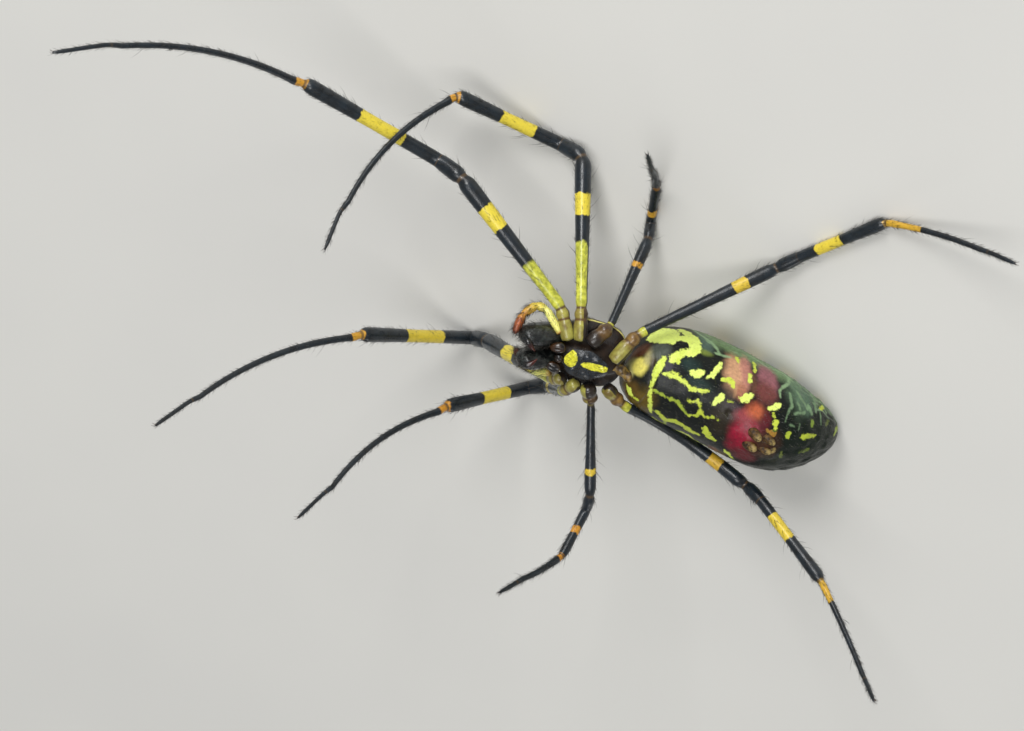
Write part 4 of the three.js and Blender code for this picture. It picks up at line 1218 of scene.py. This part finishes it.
shieldGrid, bareSkin, shieldTop, rimLine = shieldPoints()
shieldSkin, tree, where = newMaterial("shieldShell")
brown = patchy(tree, where, 2.0, 4.0, 0.35, 0.65, rgb(17, 12, 9), rgb(46, 31, 19))
silver = patchy(tree, where, 8.0, 4.0, 0.35, 0.65, rgb(146, 140, 126), rgb(190, 186, 172))
furred = maths(tree, "MULTIPLY", stretch(tree, readValue(tree, "bareSkin"), 0.2, 0.7, 1.0, 0.0),
    readValue(tree, "top"))
furNoise = stretch(tree, grain(tree, where, 14.0, 3.0), 0.35, 0.6)
colour = blendColour(tree, maths(tree, "MULTIPLY", furred, maths(tree, "MULTIPLY", furNoise, 0.8)), brown,
    silver)
rimOn = stretch(tree, maths(tree, "MULTIPLY_ADD", grain(tree, where, 3.0), 0.5, readValue(tree, "rimLine")),
    0.85, 1.1, smooth=True)
colour = blendColour(tree, rimOn, colour, rgb(206, 196, 112))
finishSurface(tree, colour, stretch(tree, furred, 0, 1, 0.42, 0.6),
    bumped(tree, maths(tree, "ADD", grain(tree, where, 16.0, 4.0), cells(tree, where, 9.0)), 0.02, 0.6),
    coat=0.05, coatRoughness=0.3, specular=0.25, sheen=0.1, sheenTint=(0.85, 0.87, 0.9, 1))
shield = rolledSkin("carapace_shield", place(shieldGrid, frontMatrix),
    {"bareSkin": bareSkin, "top": shieldTop, "rimLine": rimLine})
wear(shield, shieldSkin, ["cephalothorax"])
shieldHair = {"count": 7000, "length": 0.34, "width": 0.016, "lift": 16, "liftSpread": 6, "swirl": 0.3,
    "keep": lambda rows, roundShare, random: (sampleGrid(shieldTop, rows * shieldShape["rows"],
        roundShare * shieldShape["sides"]) > 0.35)
    & (random.random(len(rows)) > sampleGrid(bareSkin, rows * shieldShape["rows"],
        roundShare * shieldShape["sides"]) * 0.9)}
fur = hairCoat("carapace_fur", place(shieldGrid, frontMatrix), shieldHair, seeds["carapace"],
    lambda share: np.sin(np.pi * share) ** 0.5 + 0.1,
    flow=lambda root, normal: np.tile(-np.array(frontMatrix.to_3x3() @ Vector((0, 1, 0))),
        (len(root), 1)))
silverHair = softHair("silverHair", rgb(206, 202, 188), rgb(128, 122, 106))
wear(fur, silverHair)

# Sternum: a low shield with humps beside the coxae, its yellow patch and streak
sternumSettings = {"width": 2.5, "front": -2.1, "rear": 1.35, "top": 0.93, "rows": 60, "sides": 96}


def sternumOutline(angle):
    s = sternumSettings
    middle = (s["front"] + s["rear"]) / 2 - 0.25
    y = np.where(np.cos(angle) > 0, np.cos(angle) * (s["rear"] - middle),
        np.cos(angle) * (middle - s["front"]))
    narrow = np.where(np.cos(angle) > 0, 1 - 0.3 * np.cos(angle) ** 2, 1.0)
    x = np.sign(np.sin(angle)) * np.abs(np.sin(angle)) ** 0.8 * s["width"] / 2 * narrow
    scallop = 1 - 0.05 * (0.5 + 0.5 * np.cos(angle * 7))
    return x * scallop, y * scallop, middle


def sternumPoints():
    s = sternumSettings
    share = np.linspace(0, 1, s["rows"] + 1)[:, None]
    angle = np.linspace(0, 2 * math.pi, s["sides"] + 1)[None]
    edgeX, edgeY, middle = sternumOutline(angle)
    reach = np.sin(np.minimum(share, 0.62) / 0.62 * math.pi / 2)
    reach = np.where(share > 0.62, np.sin((1 - share) / 0.38 * math.pi / 2), reach)
    x, y = edgeX * reach, middle + edgeY * reach
    z = np.where(share <= 0.62, s["top"] - 0.2 * reach ** 3,
        s["top"] - 0.2 - 0.16 * smoothStep(0.62, 0.8, share))
    humps = 0
    for hx, hy in ((0.62, -1.35), (0.78, -0.45), (0.66, 0.4), (0.0, 1.0)):
        for mirror in (-1, 1):
            humps = humps + 0.09 * np.exp(-(((x - mirror * hx) / 0.24) ** 2 + ((y - hy) / 0.26) ** 2))
    return np.stack([x, y, z + humps * (share <= 0.62)], axis=-1), x, y


sternumGrid, sternumX, sternumY = sternumPoints()


def oval(x, y, centre, reach):
    return 1 - np.sqrt(((x - centre[0]) / reach[0]) ** 2 + ((y - centre[1]) / reach[1]) ** 2)


streak = np.maximum(oval(sternumX, sternumY, (-0.1, 0.3), (0.33, 1.1)),
    oval(sternumX, sternumY, (-0.28, -1.62), (0.74, 0.56)))
sternumShell, tree, where = newMaterial("sternumShell")
dark = patchy(tree, where, 2.6, 4.0, 0.35, 0.65, rgb(10, 11, 14), rgb(30, 38, 46))
bright = patchy(tree, where, 5.0, 3.0, 0.35, 0.65, rgb(238, 236, 60), rgb(208, 198, 44))
edge = maths(tree, "ADD", readValue(tree, "streak"), maths(tree, "MULTIPLY_ADD", grain(tree, where, 4.0),
    0.4, -0.2))
on = stretch(tree, edge, 0.0, 0.14, smooth=True)
finishSurface(tree, blendColour(tree, on, dark, bright),
    stretch(tree, grain(tree, where, 6.0), 0.3, 0.7, 0.22, 0.4),
    bumped(tree, maths(tree, "ADD", grain(tree, where, 9.0, 4.0), cells(tree, where, 7.0)), 0.02,
        0.6), coat=0.4, coatRoughness=0.15)
sternum = rolledSkin("sternum_plate", place(sternumGrid, frontMatrix), {"streak": streak})
wear(sternum, sternumShell, ["sternum"])
sternumHair = {"count": 500, "length": 0.4, "width": 0.011, "lift": 40, "liftSpread": 10, "swirl": 0.8,
    "keep": lambda rows, roundShare, random: rows < 0.6}
wear(hairCoat("sternum_bristles", place(sternumGrid, frontMatrix), sternumHair, seeds["sternum"]),
    bristleDark)

# Jaws
jawSettings = {
    "side": 0.88, "shift": -0.28, "rear": -2.5, "top": -1.4, "wide": 0.85, "deep": 1.11,
    "lean": {"left": 50, "right": 43}, "rows": 80, "sides": 80,
    "outline": [(0, 0), (0.62, 0.1), (0.93, 1.0), (1, 2.0), (0.99, 2.9), (0.76, 3.65), (0.42, 3.95),
        (0, 4.05)],
}
jawShell, tree, where = newMaterial("jawShell")
# The lighter grey-green specks in this colour are painted highlight specks, laid over the jaws' own dark
# mottling.
tone = blendColour(tree, stretch(tree, grain(tree, where, 2.4, 5.0, 0.65), 0.48, 0.68),
    (0.003, 0.004, 0.004, 1), (0.034, 0.041, 0.035, 1))
creases = put(tree, "TexWave", {"Vector": where, "Scale": 1.1, "Distortion": 6.0, "Detail": 3.0,
    "Detail Scale": 2.0}).outputs["Fac"]
height = maths(tree, "ADD", maths(tree, "MULTIPLY", creases, 0.5), grain(tree, where, 7.0, 4.0))
finishSurface(tree, tone, stretch(tree, grain(tree, where, 3.0), 0.3, 0.7, 0.24, 0.42),
    bumped(tree, height, 0.05, 0.8), coat=0.55, coatRoughness=0.12, specular=0.4)
fangHorn, tree, where = newMaterial("fangHorn")
tone = blendColour(tree, stretch(tree, readValue(tree, "share"), 0.3, 1.0), rgb(12, 9, 8), rgb(84, 26, 14))
finishSurface(tree, tone, stretch(tree, grain(tree, where, 6.0), 0.3, 0.7, 0.2, 0.34),
    bumped(tree, grain(tree, where, 25.0), 0.003, 0.3), coat=0.25, coatRoughness=0.2)
jawHair = {"count": 380, "length": 0.6, "width": 0.014, "lift": 38, "liftSpread": 10, "swirl": 0.3}


fangJoints = {
    "left": [(-1.3, -5.15, 1.6), (-1.05, -4.8, 1.95), (-0.5, -4.3, 1.6)],
    "right": [(0.7, -4.8, 1.9), (0.5, -4.4, 2.2), (-0.05, -4.0, 1.75)],
}


def jawPoints(mirror):
    s = jawSettings
    shape = splinePoints(s["outline"], 400)
    length = np.concatenate([[0], np.cumsum(np.linalg.norm(np.diff(shape, axis=0), axis=1))])
    even = np.linspace(0, length[-1], s["rows"] + 1)
    girth, down = np.interp(even, length, shape[:, 0]), np.interp(even, length, shape[:, 1])
    angle = np.linspace(0, 2 * math.pi, s["sides"] + 1)
    x = girth[:, None] * np.sin(angle)[None] * s["wide"]
    z = girth[:, None] * np.cos(angle)[None] * s["deep"]
    y = np.repeat(down[:, None], s["sides"] + 1, axis=1)
    inner = smoothStep(0.2, 1.0, -mirror * np.sin(angle))[None]
    x = x + mirror * inner * 0.12 * girth[:, None]
    boss = np.exp(-((y - 0.55) / 0.35) ** 2) * smoothStep(0.3, 1, mirror * np.sin(angle))[None]
    x = x + mirror * 0.07 * boss
    points = np.stack([x, y, z], axis=-1)
    turn = np.array(turned("X", 90 + s["lean"]["left" if mirror < 0 else "right"]).to_3x3())
    return points @ turn.T + np.array((mirror * s["side"] + s["shift"], s["rear"], s["top"]))


for side, mirror in (("left", -1), ("right", 1)):
    grid = place(jawPoints(mirror), frontMatrix)
    wear(rolledSkin(f"chelicera_{side}_shell", grid), jawShell, [f"chelicera_{side}"])
    wear(hairCoat(f"chelicera_{side}_bristles", grid, jawHair, seeds["jaws"] + mirror,
        lambda share: 0.15 + smoothStep(0.3, 0.9, share)), bristleDark)
    bend = [np.array(joint) for joint in fangJoints[side]]
    curve = np.vstack([bezier(*bend, 30), bend[2][None]])
    share = np.linspace(0, 1, len(curve))
    girth = np.interp(share, [0, 0.05, 0.25, 0.6, 0.9, 1], [0, 0.2, 0.25, 0.17, 0.07, 0])
    fang = rolledSkin(f"fang_{side}_hook", place(sweptTube(curve, girth, 16), frontMatrix),
        {"share": share[:, None] * np.ones((1, 17))})
    wear(fang, fangHorn, [f"fang_{side}"])

# Palps
palpJoints = {
    "left": [(-1.7, -2.8, 0.1), (-2.9, -4.3, -0.8), (-3.05, -5.1, -0.75), (-2.35, -5.9, -0.1),
        (-1.05, -6.15, 0.9)],
    "right": [(1.7, -2.8, 0.1), (2.35, -4.0, -0.55), (2.15, -4.75, -1.15), (1.7, -5.4, -1.35),
        (1.1, -5.75, -0.95)],
}
palpSettings = {"thickness": (0.31, 0.31, 0.34, 0.31, 0.32), "spacing": 0.07, "sides": 20}
palpShell, tree, where = newMaterial("palpShell")
share = maths(tree, "ADD", readValue(tree, "share"), maths(tree, "MULTIPLY_ADD", grain(tree, where, 2.5),
    0.12, -0.06))
stops = [
    (0.0, rgb(150, 100, 40)), (0.08, rgb(232, 226, 116)), (0.36, rgb(250, 246, 140)),
    (0.46, rgb(232, 212, 86)),
    (0.64, rgb(212, 164, 58)), (0.82, rgb(190, 98, 44)), (1.0, rgb(104, 44, 24)),
]
mottle = stretch(tree, grain(tree, where, 9.0, 4.0), 0.3, 0.7, 0.72, 1.12)
tone = shaded(tree, ramped(tree, share, stops), mottle)
finishSurface(tree, tone, stretch(tree, grain(tree, where, 5.0), 0.3, 0.7, 0.32, 0.5),
    bumped(tree, grain(tree, where, 12.0, 4.0), 0.02, 0.5),
    coat=0.2, coatRoughness=0.3, subsurface=0.08, subsurfaceScale=0.0003)
palpHair = {"count": 620, "length": 0.5, "width": 0.011, "lift": 34, "liftSpread": 9, "swirl": 0.25}
for side in ("left", "right"):
    path, corners = roundedPath([np.array(joint) for joint in palpJoints[side]], bendCut=0.4)
    path, places = evenly(path, palpSettings["spacing"])
    profile = []
    for index in range(len(corners)):
        middle = palpSettings["thickness"][index]
        if 0 < index < len(corners) - 1:
            profile += [(corners[index] - 0.25, middle), (corners[index], middle * 0.74),
                (corners[index] + 0.22, middle * 1.02)]
        else:
            profile += [(corners[index], middle)]
    profile[-1:] = [(corners[-1] - 0.9, 0.33), (corners[-1] - 0.3, 0.28), (corners[-1], 0.02)]
    radii = softened(np.interp(places, [p[0] for p in profile], [p[1] for p in profile]),
        palpSettings["spacing"], 0.14)
    radii[0] = radii[-1] = 0
    grid = place(sweptTube(path, radii, palpSettings["sides"]), frontMatrix)
    share = np.repeat((places / places[-1])[:, None], palpSettings["sides"] + 1, axis=1)
    wear(rolledSkin(f"pedipalp_{side}_skin", grid, {"share": share}), palpShell,
        [f"pedipalp_{side}"])
    wear(hairCoat(f"pedipalp_{side}_bristles", grid, palpHair, seeds["palps"] + len(side),
        lambda share: 0.3 + 1.5 * share), bristleDark)

# Mouth plates
mouthTable = {
    "maxilla_left": {"at": (-0.82, -2.75, 0.72), "size": (0.42, 0.62, 0.36), "turn": 12},
    "maxilla_right": {"at": (0.82, -2.75, 0.72), "size": (0.42, 0.62, 0.36), "turn": -12},
    "labium": {"at": (0, -2.5, 0.75), "size": (0.34, 0.32, 0.28), "turn": 0},
}
mouthShell, tree, where = newMaterial("mouthShell")
tone = patchy(tree, where, 1.6, 4.0, 0.4, 0.62, rgb(14, 11, 9), rgb(58, 36, 18))
finishSurface(tree, tone, 0.24, bumped(tree, grain(tree, where, 10.0, 4.0), 0.02, 0.5), coat=0.3,
    coatRoughness=0.2)
for name, row in mouthTable.items():
    deselect()
    bpy.ops.mesh.primitive_uv_sphere_add(segments=36, ring_count=24, radius=1)
    plate = bpy.context.object
    flat = cornerPlacesOf(plate.data)
    flat[:, 0] *= 1 + 0.25 * flat[:, 1]
    flat[:, 2] = np.sign(flat[:, 2]) * np.abs(flat[:, 2]) ** 0.85 - 0.18 * np.exp(-((flat[:, 0]
        / 0.3) ** 2)) * (flat[:, 2] > 0)
    flat = flat * np.array(row["size"])
    turn = np.array(turned("Z", row["turn"]).to_3x3())
    plate.data.vertices.foreach_set("co", place(flat @ turn.T + np.array(row["at"]), frontMatrix).ravel())
    plate.data.update()
    bpy.ops.object.shade_smooth()
    plate.name = plate.data.name = f"{name}_plate"
    wear(plate, mouthShell, [name])

# Eyes, set where the solids have them
eyeLens, tree, where = newMaterial("eyeLens")
tone = patchy(tree, where, 6.0, 3.0, 0.4, 0.6, (0.003, 0.003, 0.004, 1), (0.02, 0.012, 0.008, 1))
finishSurface(tree, tone, 0.06, bumped(tree, grain(tree, where, 40.0), 0.001, 0.1), coat=1.0,
    coatRoughness=0.03, ior=1.55)
for name in ("front_median", "rear_median", "front_lateral", "rear_lateral"):
    for side in ("left", "right"):
        low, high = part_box(f"eye_{name}_{side}")
        centre, size = (low + high) / 2, (high - low) / 2
        reach = max(size)
        deselect()
        bpy.ops.mesh.primitive_uv_sphere_add(segments=40, ring_count=28, radius=reach)
        lens = bpy.context.object
        lens.data.vertices.foreach_set("co", (cornerPlacesOf(lens.data) + np.array(centre)).ravel())
        lens.data.update()
        bpy.ops.object.shade_smooth()
        lens.name = lens.data.name = f"eye_{name}_{side}_lens"
        wear(lens, eyeLens, [f"eye_{name}_{side}"])
print("front body ready")

# Last: the solids still shown are listed and given the leg cuticle
for name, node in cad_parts.items():
    if not node.hide_render:
        print("solid still shown:", name)
        node.data.materials.clear()
        node.data.materials.append(legSkin)
